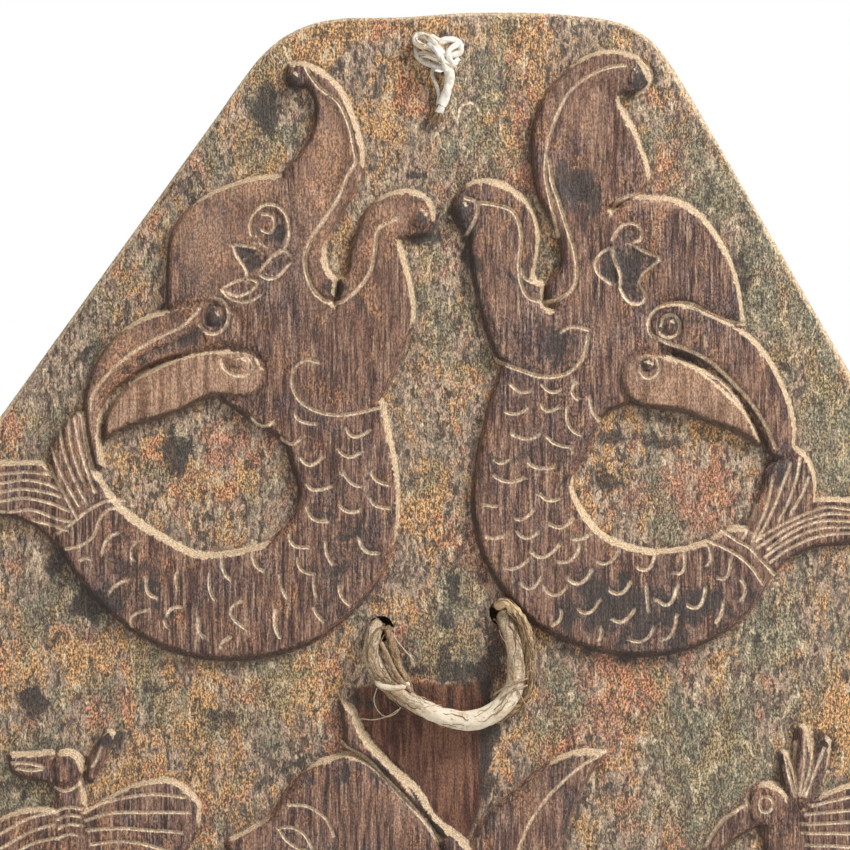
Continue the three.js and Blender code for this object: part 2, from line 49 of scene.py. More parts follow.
# The carving is laid out on a squared drawing, x to the right and y downwards. Distances on the
# drawing are in squares, and heights of the relief are in millimetres above the ground.
MIDDLE_X, MIDDLE_Y = 445, 732
VIEW_X, VIEW_Y, VIEW_SQUARES = 425, 425, 850

random = np.random.default_rng(11)


def place(x, y, depth=0.0):
    """The point at drawing place (x, y), that far in front of the back plane, in metres."""
    return ((x - MIDDLE_X) * SQUARE, -depth, (MIDDLE_Y - y) * SQUARE)


# Curves

def catmull_rom(knots, per_piece=12):
    """Many points along a centripetal Catmull-Rom curve through the knots."""
    knots = np.asarray(knots, float)
    if len(knots) == 2:
        return knots[0] + (knots[1] - knots[0]) * np.linspace(0, 1, per_piece)[:, None]
    ends = (2 * knots[0] - knots[1], 2 * knots[-1] - knots[-2])
    padded = np.vstack([ends[0], knots, ends[1]])
    t = np.linspace(0, 1, per_piece, endpoint=False)[:, None]
    pieces = []
    for a, b, c, d in zip(padded, padded[1:], padded[2:], padded[3:]):
        t0, t1, t2 = (max(np.linalg.norm(q - p), 1e-9) ** 0.5 for p, q in ((a, b), (b, c), (c, d)))
        leave = ((b - a) / t0 - (c - a) / (t0 + t1) + (c - b) / t1) * t1
        arrive = ((c - b) / t1 - (d - b) / (t1 + t2) + (d - c) / t2) * t1
        pieces.append((2 * t**3 - 3 * t**2 + 1) * b + (t**3 - 2 * t**2 + t) * leave
                      + (3 * t**2 - 2 * t**3) * c + (t**3 - t**2) * arrive)
    return np.vstack(pieces + [knots[-1:]])


def evenly(points, step):
    """The same line with points about a step apart, ends kept."""
    lengths = np.linalg.norm(np.diff(points, axis=0), axis=1)
    along = np.concatenate([[0], np.cumsum(lengths)])
    count = max(2, int(round(along[-1] / step)) + 1)
    wanted = np.linspace(0, along[-1], count)
    return np.column_stack([np.interp(wanted, along, column) for column in points.T])


def smooth_line(knots, step=3.0):
    return evenly(catmull_rom(knots), step)


def closed_outline(lines, step=3.0):
    """Smooth lines that meet at corners, as one closed outline."""
    return np.vstack([smooth_line(line, step)[:-1] for line in lines])


def oval(centre, radii, sides=28):
    turn = np.linspace(0, 2 * math.pi, sides, endpoint=False)
    return np.column_stack([centre[0] + radii[0] * np.cos(turn), centre[1] + radii[1] * np.sin(turn)])


def normals_of(line, closed=False):
    """Unit vectors across the line, one per point."""
    if closed:
        along = np.roll(line, -1, axis=0) - np.roll(line, 1, axis=0)
    else:
        along = np.gradient(line, axis=0)
    along = along / np.maximum(np.linalg.norm(along, axis=1, keepdims=True), 1e-9)
    return np.column_stack([along[:, 1], -along[:, 0]])


def outward_normals(outline):
    ahead = np.roll(outline, -1, axis=0)
    area = (outline[:, 0] * ahead[:, 1] - ahead[:, 0] * outline[:, 1]).sum()
    return normals_of(outline, closed=True) * math.copysign(1, area)


def smoothstep(values, low, high):
    t = np.clip((values - low) / (high - low), 0, 1)
    return t * t * (3 - 2 * t)


def waves(x, y, size, seed):
    """Smooth unevenness between -1 and 1, with bumps about that size."""
    u, v = np.asarray(x) / size, np.asarray(y) / size
    i, j = np.floor(u).astype(np.int64), np.floor(v).astype(np.int64)
    fu, fv = smoothstep(u - i, 0, 1), smoothstep(v - j, 0, 1)

    def corner(a, b):
        mixed = (a * 374761393 + b * 668265263 + seed * 1442695041) & 0xFFFFFFFF
        mixed = ((mixed ^ (mixed >> 13)) * 1274126177) & 0xFFFFFFFF
        return ((mixed ^ (mixed >> 16)) & 0xFFFF) / 32767.5 - 1

    low = corner(i, j) * (1 - fu) + corner(i + 1, j) * fu
    high = corner(i, j + 1) * (1 - fu) + corner(i + 1, j + 1) * fu
    return low * (1 - fv) + high * fv


def distance_to_line(points, line, widths=None, closed=False):
    """Distance to a polyline, less its half width there if it has one."""
    starts = line if closed else line[:-1]
    stops = np.roll(line, -1, axis=0) if closed else line[1:]
    first = np.zeros(len(line)) if widths is None else widths
    w0 = first if closed else first[:-1]
    w1 = np.roll(first, -1) if closed else first[1:]
    best = np.full(len(points), 1e9)
    for a, b, ra, rb in zip(starts, stops, w0, w1):
        chord = b - a
        away = points - a
        t = np.clip(away @ chord / max(chord @ chord, 1e-9), 0, 1)
        best = np.minimum(best, np.hypot(*(away - t[:, None] * chord).T) - ra - t * (rb - ra))
    return best


def inside_polygon(points, polygon):
    x, y = points.T
    inside = np.zeros(len(points), bool)
    for (ax, ay), (bx, by) in zip(polygon, np.roll(polygon, -1, axis=0)):
        if ay == by:
            continue
        crossing = (ay > y) != (by > y)
        inside ^= crossing & (x < (bx - ax) * (y - ay) / (by - ay) + ax)
    return inside


# Forms of the carving

class Form:
    """A raised form: top is its height, slope the width of its rounded edge, dome its swelling, and
    moat the depth of the cut that sets it off from a figure under it."""

    def __init__(self, outline=None, spine=None, top=5.4, slope=8.0, dome=0.4, tusk=0.0, moat=0.0):
        self.top, self.slope, self.dome, self.tusk, self.moat = top, slope, dome, tusk, moat
        self.spine = None
        self.contour = outline
        if spine is not None:
            knots = smooth_line(spine, 4.0)
            self.spine, self.widths = knots[:, :2], knots[:, 2]
            self.contour = self.around_spine()
        reach = 16
        self.low, self.high = self.contour.min(axis=0) - reach, self.contour.max(axis=0) + reach

    def around_spine(self):
        across = normals_of(self.spine) * self.widths[:, None]
        turn = np.linspace(0, math.pi, 9)[1:-1, None]
        ahead = np.array([-across[-1][1], across[-1][0]])
        behind = np.array([across[0][1], -across[0][0]])
        front_cap = self.spine[-1] + across[-1] * np.cos(turn) + ahead * np.sin(turn)
        back_cap = self.spine[0] - across[0] * np.cos(turn) + behind * np.sin(turn)
        return np.vstack([self.spine + across, front_cap, (self.spine - across)[::-1], back_cap])

    def near(self, points):
        return np.flatnonzero(((points > self.low) & (points < self.high)).all(axis=1))

    def depth_inside(self, points):
        """How far inside the form each point is, negative outside."""
        if self.spine is not None:
            return -distance_to_line(points, self.spine, self.widths)
        distance = distance_to_line(points, self.contour, closed=True)
        return np.where(inside_polygon(points, self.contour), distance, -distance)

    def rows(self, offsets=(4.5, 2.2, 0.4, -1.4, -3.4, -5.8, -8.6, -12)):
        """Lines of points along the edge, for the mesh to follow."""
        contour = evenly(np.vstack([self.contour, self.contour[:1]]), 3.2)[:-1]
        across = outward_normals(contour)
        return np.vstack([contour + offset * across for offset in offsets])


def outline_form(lines, **settings):
    return Form(outline=closed_outline(lines), **settings)


def stroke_form(knots, **settings):
    return Form(spine=knots, **settings)


def oval_form(centre, radii, **settings):
    return Form(outline=oval(centre, radii), **settings)


# The two elephant-headed fish

LEFT_FORMS = [
    outline_form([[[52, 470], [44, 462], [10, 461], [-20, 464], [-38, 478]],
                  [[-38, 478], [-36, 500], [-15, 512], [15, 519], [38, 530], [53, 546]],
                  [[53, 546], [84, 524]], [[84, 524], [52, 470]]], top=4.4, slope=5, dome=0.3),
    outline_form([[[82, 526], [62, 500], [49, 468], [52, 444], [64, 422], [80, 410], [88, 414]],
                  [[88, 414], [92, 440], [98, 470], [110, 492], [122, 503]],
                  [[122, 503], [82, 526]]], moat=0.8, top=4.8, slope=5, dome=0.4),
    stroke_form([[328, 395, 55], [338, 440, 54], [349, 490, 52], [340, 540, 55], [297, 588, 57],
                 [244, 605, 57], [188, 603, 53], [137, 575, 49], [102, 543, 42], [86, 522, 38]],
                moat=0.7, top=5.4, slope=7.5, dome=0.7),
    outline_form([[[294, 166], [283, 172], [250, 177], [220, 187], [190, 204], [170, 232], [165, 275],
                   [165, 308]],
                  [[165, 308], [190, 360], [222, 402]],
                  [[222, 402], [250, 422], [278, 440], [294, 458]],
                  [[294, 458], [345, 440]], [[345, 440], [345, 320]],
                  [[345, 320], [320, 264], [294, 166]]], top=5.5, slope=6, dome=0.7),
    outline_form([[[287, 63], [301, 61], [322, 70], [343, 90], [358, 122], [365, 158], [360, 182],
                   [348, 207], [333, 230], [326, 252], [330, 270], [338, 278]],
                  [[338, 278], [334, 302], [312, 292], [304, 262]], [[304, 262], [281, 172]],
                  [[281, 172], [296, 155], [308, 138], [314, 118], [313, 100], [306, 88]],
                  [[306, 88], [295, 90], [284, 82], [287, 63]]], moat=0.3, top=5.9, slope=5.5, dome=0.5),
    outline_form([[[338, 278], [345, 272], [348, 252], [355, 230], [364, 210], [380, 196], [402, 188],
                   [422, 192], [434, 206], [435, 224], [426, 237], [402, 240]],
                  [[402, 240], [408, 265], [415, 298], [415, 322], [404, 352], [394, 378], [379, 409]],
                  [[379, 409], [350, 416], [318, 411], [301, 401], [293, 384], [298, 367], [312, 360]],
                  [[312, 360], [318, 325], [334, 302], [338, 278]]], moat=0.0, top=5.8, slope=6, dome=0.6),
    stroke_form([[215, 328, 26], [178, 333, 26], [139, 346, 24], [118, 363, 20], [102, 383, 15],
                 [94, 403, 11], [93, 428, 8], [98, 464, 6]], moat=1.4, top=5.9, slope=5, dome=0.6),
    stroke_form([[240, 374, 25], [205, 374, 24], [168, 389, 26], [135, 405, 20], [117, 420, 12],
                 [106, 436, 4]], moat=1.5, top=6.5, slope=5, dome=0.8, tusk=1.0),
    oval_form((294, 78), (10, 11), moat=0.8, top=6.9, slope=8, dome=0.6),
    oval_form((420, 219), (15, 18), moat=1.0, top=7.0, slope=11, dome=0.6),
    oval_form((214, 318), (11, 12), moat=1.0, top=6.6, slope=7, dome=0.5),
    oval_form((239, 363), (13, 10), moat=1.0, top=6.9, slope=7, dome=0.4, tusk=0.7),
]
RIGHT_FORMS = [
    outline_form([[[785, 512], [816, 498], [850, 498], [885, 503], [908, 517]],
                  [[908, 517], [893, 535], [850, 545], [815, 549], [795, 557], [775, 573]],
                  [[775, 573], [752, 545]], [[752, 545], [785, 512]]], top=4.4, slope=5, dome=0.3),
    outline_form([[[722, 531], [744, 530], [752, 506], [762, 484], [763, 469], [778, 453], [795, 446]],
                  [[795, 446], [808, 456], [817, 478], [816, 500]], [[816, 500], [775, 573]],
                  [[775, 573], [722, 531]]], moat=0.8, top=4.8, slope=5, dome=0.4),
    stroke_form([[552, 385, 56], [541, 420, 57], [527, 460, 52], [523, 500, 53], [533, 534, 57],
                 [566, 577, 59], [617, 599, 57], [665, 602, 54], [712, 586, 47], [740, 562, 37]],
                moat=0.7, top=5.4, slope=7.5, dome=0.7),
    outline_form([[[600, 200], [612, 208], [628, 196], [655, 195], [682, 200], [706, 217], [726, 246],
                   [739, 280], [746, 324]],
                  [[746, 324], [715, 375], [660, 408], [628, 405]],
                  [[628, 405], [604, 416], [588, 438], [577, 462]],
                  [[577, 462], [540, 440]], [[540, 440], [545, 320]],
                  [[545, 320], [566, 280], [600, 200]]], top=5.5, slope=6, dome=0.7),
    outline_form([[[641, 57], [625, 51], [605, 49], [585, 55], [558, 76], [541, 98], [531, 128],
                   [530, 160], [536, 194], [550, 221], [559, 245], [558, 266], [546, 282]],
                  [[546, 282], [546, 304], [570, 297], [578, 270]], [[578, 270], [612, 208]],
                  [[612, 208], [640, 196], [650, 180], [644, 150], [632, 122], [621, 104]],
                  [[621, 104], [622, 95], [640, 96], [651, 82], [641, 57]]], moat=0.3, top=5.9, slope=5.5, dome=0.5),
    outline_form([[[546, 282], [536, 278], [539, 255], [540, 230], [532, 206], [515, 189], [492, 178],
                   [470, 181], [455, 194], [450, 211], [457, 228], [467, 236]],
                  [[467, 236], [470, 270], [477, 305], [486, 335], [497, 361]],
                  [[497, 361], [520, 369], [545, 377], [570, 373], [585, 356], [588, 326]],
                  [[588, 326], [568, 312], [546, 304], [546, 282]]], moat=0.0, top=5.8, slope=6, dome=0.6),
    stroke_form([[674, 326, 25], [708, 342, 28], [737, 364, 30], [761, 394, 25], [776, 426, 20],
                 [781, 446, 15]], moat=1.4, top=5.9, slope=5, dome=0.6),
    stroke_form([[648, 380, 28], [690, 388, 26], [721, 406, 21], [741, 422, 12], [757, 441, 4]],
                moat=1.5, top=6.5, slope=5, dome=0.8, tusk=0.8),
    oval_form((634, 78), (12, 16), moat=0.8, top=6.9, slope=9, dome=0.6),
    oval_form((463, 212), (13, 16), moat=1.0, top=7.0, slope=10, dome=0.6),
    oval_form((670, 326), (9, 11), moat=1.0, top=6.6, slope=7, dome=0.4),
    oval_form((648, 366), (10, 9), moat=1.0, top=7.2, slope=6, dome=0.4, tusk=0.6),
]

# Incised lines are (half width, depth, knots). Pale ones keep the light dust in their cut.
LEFT_LINES = [
    (1.2, 0.8, [[328, 262], [329, 270], [334, 276], [342, 277]]),
    (1.0, 0.5, [[459, 116], [461, 107], [468, 102], [476, 104], [480, 112]]),
    (1.4, 1.3, [[306, 68], [312, 78], [320, 88], [338, 102], [349, 125], [354, 148], [356, 162], [347, 178],
                [340, 196], [326, 218], [311, 240], [305, 262], [311, 285], [325, 301], [342, 302],
                [360, 287], [371, 270], [375, 250], [378, 230], [386, 224], [397, 219]]),
    (1.2, 1.0, [[200, 309], [185, 325], [160, 337], [130, 355], [110, 373], [94, 395], [92, 412]]),
    (1.1, 1.0, [[200, 325], [206, 332], [215, 334], [225, 328], [229, 316], [225, 303], [214, 297]]),
    (1.0, 0.9, [[222, 360], [224, 368], [230, 373], [240, 376], [250, 373], [254, 366], [250, 358]]),
    (0.9, 0.8, [[252, 236], [250, 224], [256, 212], [266, 205], [279, 207], [288, 220], [289, 238],
                [283, 251], [275, 256]]),
    (0.9, 0.8, [[262, 214], [272, 216], [275, 226], [270, 233], [262, 230]]),
    (0.9, 0.7, [[256, 244], [258, 250], [264, 255]]),
    (0.9, 0.8, [[233, 245], [245, 246], [257, 248]]),
    (0.9, 0.8, [[233, 245], [237, 256], [244, 266], [247, 274], [245, 280]]),
    (0.9, 0.8, [[222, 290], [233, 283], [247, 279], [258, 283], [250, 292], [236, 296], [222, 290]]),
    (0.9, 0.8, [[260, 272], [268, 262], [278, 252], [286, 251], [291, 257]]),
    (0.9, 0.8, [[260, 275], [268, 279], [276, 278], [284, 271], [290, 264]]),
    (0.9, 0.7, [[222, 290], [230, 298], [242, 302], [252, 301], [260, 296]]),
    (1.1, 0.9, [[318, 362], [306, 360], [296, 368], [292, 382], [298, 398], [312, 409], [334, 415],
                [358, 413], [378, 408]]),
    (0.9, 0.7, [[50, 466], [55, 478], [62, 490], [70, 504], [78, 518]]),
    (0.9, 0.7, [[51, 448], [57, 462], [64, 478], [72, 493], [80, 506]]),
    (0.9, 0.7, [[60, 430], [64, 450], [70, 468], [78, 486], [87, 502]]),
    (0.9, 0.7, [[69, 420], [71, 440], [75, 458], [83, 480]]),
    (0.9, 0.7, [[75, 417], [78, 435], [84, 460], [95, 492]]),
    (0.9, 0.7, [[82, 413], [85, 435], [90, 458], [97, 480]]),
    (0.9, 0.7, [[-30, 474], [0, 474], [25, 472], [50, 474]]),
    (0.9, 0.7, [[-34, 482], [0, 483], [25, 480], [48, 484], [60, 490]]),
    (0.9, 0.7, [[-36, 491], [0, 492], [22, 489], [50, 493], [62, 497]]),
    (0.9, 0.7, [[-32, 499], [0, 501], [25, 498], [50, 503], [70, 511]]),
    (0.9, 0.7, [[-16, 508], [5, 512], [33, 510], [55, 518], [72, 522]]),
    (0.9, 0.7, [[33, 520], [48, 524], [68, 530]]),
    (1.0, 0.9, [[125, 500], [110, 500], [100, 504], [85, 513], [72, 524], [58, 533]]),
    (1.0, 0.9, [[124, 508], [110, 509], [101, 518], [94, 536], [82, 545], [66, 549]]),
]
RIGHT_LINES = [
    (1.4, 1.2, [[497, 361], [520, 370], [545, 377], [568, 373], [583, 358], [588, 336]]),
    (1.2, 0.8, [[611, 215], [615, 205], [625, 198], [640, 194]]),
    (1.2, 0.7, [[520, 268], [524, 277], [532, 282], [541, 281]]),
    (1.2, 1.2, [[626, 65], [605, 69], [585, 79], [570, 92], [558, 113], [549, 140], [545, 170],
                [551, 205], [558, 235]]),
    (1.4, 1.3, [[549, 160], [552, 182], [558, 200], [566, 225], [575, 255], [576, 280], [570, 292],
                [548, 302], [528, 297], [520, 280], [519, 260], [521, 235], [513, 212], [495, 205],
                [478, 203]]),
    (1.1, 1.0, [[465, 198], [476, 202], [478, 210], [474, 222], [467, 234]]),
    (1.1, 1.0, [[640, 57], [649, 66], [652, 77], [647, 88], [637, 95]]),
    (1.1, 0.9, [[563, 331], [568, 328], [577, 327], [588, 330]]),
    (1.2, 1.0, [[744, 324], [730, 322], [710, 314], [690, 304], [670, 304], [655, 310], [648, 322],
                [651, 334], [662, 341], [690, 351], [710, 362], [730, 380], [750, 402], [765, 425],
                [775, 448]]),
    (1.0, 0.9, [[661, 326], [664, 317], [672, 315], [679, 322], [678, 333], [670, 337]]),
    (1.0, 0.9, [[640, 372], [646, 378], [655, 376], [660, 367], [657, 359]]),
    (0.9, 0.8, [[612, 240], [616, 232], [624, 225], [634, 224], [641, 230], [640, 240], [631, 243]]),
    (0.9, 0.8, [[630, 243], [640, 250], [650, 254], [661, 259]]),
    (0.9, 0.8, [[661, 259], [652, 266], [643, 274], [638, 286]]),
    (0.9, 0.8, [[638, 286], [645, 294], [642, 303], [632, 304], [624, 297], [620, 288]]),
    (0.9, 0.8, [[612, 248], [615, 262], [620, 275], [620, 288]]),
    (0.9, 0.8, [[610, 248], [600, 254], [595, 264], [598, 274], [610, 284]]),
    (0.9, 0.7, [[757, 505], [752, 518], [747, 530], [743, 538]]),
    (0.9, 0.7, [[773, 477], [767, 505], [757, 530], [752, 541]]),
    (0.9, 0.7, [[790, 465], [783, 483], [777, 500], [768, 520], [757, 541]]),
    (0.9, 0.7, [[800, 458], [797, 475], [791, 495], [779, 521]]),
    (0.9, 0.7, [[808, 478], [803, 492], [792, 511]]),
    (0.9, 0.7, [[895, 514], [850, 509], [825, 507], [800, 516], [775, 528], [755, 541]]),
    (0.9, 0.7, [[900, 518], [850, 514], [825, 514], [795, 524], [770, 539], [758, 547]]),
    (0.9, 0.7, [[898, 524], [850, 521], [820, 521], [792, 532], [768, 549]]),
    (0.9, 0.7, [[892, 530], [850, 527], [820, 528], [790, 540], [764, 557]]),
    (0.9, 0.7, [[884, 536], [850, 533], [820, 536], [792, 547], [770, 562]]),
    (1.0, 0.9, [[722, 530], [736, 540], [750, 548], [762, 561], [775, 574]]),
    (1.0, 0.9, [[709, 541], [725, 548], [740, 557], [752, 568], [762, 583]]),
]

# The birds

LEFT_BIRD_FORMS = [
    stroke_form([[68, 780, 15], [71, 810, 17], [72, 850, 26], [68, 890, 30], [62, 930, 22]],
                top=4.0, slope=6, dome=0.6),
    outline_form([[[80, 812], [104, 798], [140, 782], [175, 780], [202, 803]],
                  [[202, 803], [198, 834], [170, 868], [120, 890], [72, 884]], [[72, 884], [80, 812]]],
                 moat=0.8, top=4.4, slope=5, dome=0.4),
    outline_form([[[60, 808], [24, 809], [-30, 832], [-70, 862]],
                  [[-70, 862], [-56, 888], [-10, 900], [72, 884]], [[72, 884], [60, 808]]],
                 moat=0.8, top=4.4, slope=5, dome=0.4),
    outline_form([[[44, 925], [22, 980], [8, 1032]], [[8, 1032], [48, 1046], [92, 1030]],
                  [[92, 1030], [84, 980], [80, 925]], [[80, 925], [44, 925]]], moat=0.6, top=4.0, slope=5, dome=0.4),
    outline_form([[[54, 750], [28, 753], [8, 753]], [[8, 753], [10, 772], [56, 786]],
                  [[56, 786], [54, 750]]], moat=0.6, top=4.4, slope=4, dome=0.3),
    stroke_form([[91, 776, 6], [97, 760, 9], [104, 744, 8], [110, 735, 5]], moat=0.8, top=4.6, slope=4, dome=0.3),
    oval_form((66, 769), (20, 21), moat=0.8, top=5.4, slope=9, dome=0.5),
]
RIGHT_BIRD_FORMS = [
    stroke_form([[784, 815, 22], [795, 850, 32], [806, 895, 38], [812, 940, 30]], top=4.0, slope=6, dome=0.6),
    outline_form([[[798, 812], [835, 788], [880, 780], [938, 802]],
                  [[938, 802], [932, 842], [890, 876], [815, 890]], [[815, 890], [798, 812]]],
                 moat=0.8, top=4.4, slope=5, dome=0.4),
    outline_form([[[788, 950], [806, 1000], [812, 1050]], [[812, 1050], [850, 1056], [884, 1036]],
                  [[884, 1036], [860, 985], [838, 935]], [[838, 935], [788, 950]]],
                 moat=0.6, top=4.0, slope=5, dome=0.4),
    stroke_form([[797, 802, 5], [789, 778, 9], [784, 755, 5]], moat=0.8, top=4.5, slope=4, dome=0.4),
    stroke_form([[800, 802, 5], [804, 765, 10], [802, 730, 6]], moat=0.8, top=4.8, slope=4, dome=0.4),
    stroke_form([[804, 804, 5], [817, 770, 10], [827, 742, 5]], moat=0.8, top=4.5, slope=4, dome=0.4),
    stroke_form([[754, 812, 16], [728, 831, 12], [708, 856, 8], [699, 878, 5]], moat=0.8, top=4.8, slope=5, dome=0.5),
    oval_form((768, 806), (25, 26), moat=0.8, top=5.2, slope=9, dome=0.5),
]
BIRD_LINES = [
    (1.0, 0.9, [[12, 763], [30, 763], [44, 768], [30, 770], [18, 768]]),
    (0.9, 0.8, [[55, 788], [66, 791], [77, 786], [82, 780]]),
    (0.9, 0.8, [[102, 747], [98, 758], [93, 766]]),
    (1.0, 0.8, [[84, 813], [100, 804], [128, 797], [155, 794], [186, 797]]),
    (1.0, 0.8, [[86, 820], [110, 813], [150, 812], [190, 812]]),
    (1.0, 0.8, [[88, 830], [120, 828], [150, 830], [180, 832]]),
    (1.0, 0.8, [[92, 844], [120, 841], [145, 844], [165, 850]]),
    (1.0, 0.8, [[92, 858], [120, 858], [146, 864]]),
    (1.0, 0.8, [[54, 812], [30, 818], [0, 834], [-40, 858]]),
    (1.0, 0.8, [[54, 824], [30, 832], [5, 846], [-30, 866]]),
    (1.0, 0.8, [[54, 838], [34, 843], [10, 856], [-20, 876]]),
    (1.0, 0.8, [[55, 852], [36, 858], [16, 870]]),
    (0.9, 0.7, [[57, 811], [69, 807], [81, 809]]),
    (0.9, 0.7, [[58, 819], [70, 815], [82, 817]]),
    (0.9, 0.7, [[59, 828], [71, 824], [83, 826]]),
    (0.9, 0.7, [[58, 838], [71, 834], [84, 836]]),
    (1.0, 0.8, [[40, 948], [24, 1028]]), (1.0, 0.8, [[54, 950], [46, 1036]]),
    (1.0, 0.8, [[66, 950], [68, 1036]]),
    (1.0, 0.9, [[745, 805], [722, 822], [706, 846]]),
    (0.9, 0.7, [[748, 794], [747, 801], [749, 808]]),
    (1.0, 0.9, [[759, 804], [762, 797], [769, 797], [773, 804], [769, 811], [762, 811], [759, 804]]),
    (0.9, 0.8, [[785, 756], [789, 776], [795, 796]]),
    (0.9, 0.8, [[805, 734], [804, 765], [800, 795]]),
    (0.9, 0.8, [[824, 748], [815, 772], [806, 795]]),
    (0.9, 0.7, [[796, 742], [794, 765], [797, 793]]),
    (0.9, 0.7, [[814, 742], [811, 765], [803, 795]]),
    (1.0, 0.8, [[812, 806], [835, 800], [880, 793], [920, 802]]),
    (1.0, 0.8, [[806, 814], [850, 810], [900, 808], [930, 812]]),
    (1.0, 0.8, [[802, 824], [825, 823], [870, 821], [926, 824]]),
    (1.0, 0.8, [[802, 833], [830, 833], [870, 834], [918, 838]]),
    (1.0, 0.8, [[806, 845], [840, 846], [900, 852]]),
    (1.0, 0.8, [[812, 858], [840, 860], [878, 866]]),
    (1.0, 0.8, [[804, 958], [826, 1046]]), (1.0, 0.8, [[820, 955], [846, 1046]]),
    (1.0, 0.8, [[832, 950], [864, 1038]]),
]

# The middle figure. Its head has a plain profile on even proportions: the hairline, the brow,
# the base of the nose and the chin are a third of the face apart. The head is tipped back.

HAIRLINE_X, HAIRLINE_Y = 346, 751
FACE_THIRD = 78
FACE_TIPPED = math.radians(35)


def face(points):
    """Drawing places from [forward, down] of the hairline, in thirds of the face."""
    forward, down = np.asarray(points, float).T
    x = HAIRLINE_X - FACE_THIRD * (forward * math.cos(FACE_TIPPED) + down * math.sin(FACE_TIPPED))
    y = HAIRLINE_Y - FACE_THIRD * (forward * math.sin(FACE_TIPPED) - down * math.cos(FACE_TIPPED))
    return np.column_stack([x, y])


FACE_PROFILE = [
    [[0, 0], [0.26, 0.35], [0.36, 0.8], [0.36, 1], [0.32, 1.14], [0.5, 1.6], [0.62, 1.86], [0.42, 2]],
    [[0.42, 2], [0.5, 2.2], [0.42, 2.33]],
    [[0.42, 2.33], [0.47, 2.44], [0.36, 2.58], [0.41, 2.8], [0.26, 3], [0, 3]],
    [[0, 3], [-0.5, 2.78], [-0.95, 2.62]],
    [[-0.95, 2.62], [-1.8, 2.6], [-2.7, 1.8]],
    [[-2.7, 1.8], [-2.4, 0.8], [-1.75, 0.25], [-1, 0], [-0.3, -0.1], [0, 0]],
]
FACE_LINES = [
    (0.9, 0.8, face([[0.14, 1.3], [0.02, 1.2], [-0.14, 1.17], [-0.32, 1.24], [-0.42, 1.32]])),
    (0.9, 0.8, face([[0.14, 1.3], [0, 1.36], [-0.18, 1.37], [-0.32, 1.33]])),
    (0.9, 0.6, face([[0.2, 0.98], [0, 0.86], [-0.3, 0.86], [-0.5, 0.98]])),
    (0.9, 0.7, face([[0.42, 2.33], [0.25, 2.34], [0.1, 2.3]])),
    (0.9, 0.6, face([[0.4, 1.98], [0.3, 1.9], [0.26, 1.8]])),
]
FIGURE_FORMS = [
    outline_form([[[468, 843], [486, 812], [510, 792], [544, 764], [578, 749], [611, 750]],
                  [[611, 750], [590, 780], [572, 820], [562, 860], [540, 930], [500, 1000]],
                  [[500, 1000], [450, 960], [452, 900], [468, 843]]], top=4.8, slope=7, dome=0.6),
    stroke_form([[400, 960, 40], [424, 1005, 62], [430, 1070, 56], [434, 1130, 46], [438, 1190, 56]],
                top=4.9, slope=9, dome=0.8),
    stroke_form([[318, 1024, 24], [370, 1000, 30], [430, 992, 34], [492, 1000, 30], [545, 1022, 24]],
                moat=0.6, top=5.3, slope=9, dome=0.7),
    outline_form([face(line) for line in FACE_PROFILE], moat=0.8, top=5.5, slope=7, dome=0.8),
    stroke_form([[318, 1026, 22], [286, 1080, 19], [262, 1136, 17], [308, 1168, 15], [352, 1180, 17]],
                moat=0.8, top=5.9, slope=7, dome=0.6),
    stroke_form([[546, 1026, 22], [584, 1078, 19], [606, 1136, 17], [562, 1172, 15], [520, 1186, 17]],
                moat=0.8, top=5.9, slope=7, dome=0.6),
    outline_form([[[372, 1176], [352, 1260], [338, 1340], [330, 1390]],
                  [[330, 1390], [440, 1402], [548, 1388]],
                  [[548, 1388], [540, 1320], [520, 1240], [502, 1176]],
                  [[502, 1176], [372, 1176]]], moat=0.6, top=5.2, slope=9, dome=0.6),
    stroke_form([[352, 1398, 12], [320, 1404, 12], [286, 1408, 9]], moat=0.5, top=4.7, slope=6, dome=0.3),
    stroke_form([[512, 1396, 12], [480, 1404, 12], [446, 1408, 9]], moat=0.5, top=4.7, slope=6, dome=0.3),
    stroke_form([[368, 1184, 9], [437, 1196, 10], [506, 1184, 9]], moat=0.8, top=6.4, slope=5, dome=0.3),
    outline_form([[[338, 698], [354, 708], [366, 733], [390, 761], [420, 789], [440, 820], [470, 845],
                   [490, 900]],
                  [[490, 900], [455, 905]],
                  [[455, 905], [438, 838], [404, 797], [372, 764], [344, 748]],
                  [[344, 748], [338, 698]]], moat=1.2, top=6.2, slope=6, dome=0.3),
]
FIGURE_LINES = [
    (1.1, 0.9, [[341, 742], [350, 749], [365, 757], [385, 778], [405, 798], [425, 822], [441, 841]]),
    (1.0, 0.8, [[606, 752], [584, 764], [560, 784], [536, 812], [520, 845], [508, 900]]),
    (1.0, 0.8, [[424, 1216], [412, 1300], [398, 1388]]),
    (1.0, 0.8, [[440, 1216], [440, 1300], [440, 1394]]),
    (1.0, 0.8, [[456, 1216], [470, 1300], [484, 1386]]),
    (1.0, 0.8, [[374, 1208], [437, 1220], [500, 1208]]),
]


def foliage(side):
    """A scroll of leaves in a lower corner; side is -1 on the left and 1 on the right."""
    stem = [[420, 1100, 6], [380, 1160, 9], [326, 1210, 10], [262, 1248, 9], [204, 1300, 7], [178, 1368, 6]]
    leaves = [[[340, 1200, 6], [308, 1164, 15], [262, 1148, 5]],
              [[270, 1245, 6], [240, 1212, 14], [196, 1206, 5]]]
    placed = [[[MIDDLE_X + side * x, y, half] for x, y, half in knots] for knots in [stem] + leaves]
    return [stroke_form(knots, top=4.2, slope=5, dome=0.4) for knots in placed]


FORMS = LEFT_FORMS + RIGHT_FORMS + LEFT_BIRD_FORMS + RIGHT_BIRD_FORMS + FIGURE_FORMS + foliage(-1) + foliage(1)
LINES = [(half, depth, smooth_line(knots, 2.6))
         for half, depth, knots in LEFT_LINES + RIGHT_LINES + BIRD_LINES + FIGURE_LINES + FACE_LINES]

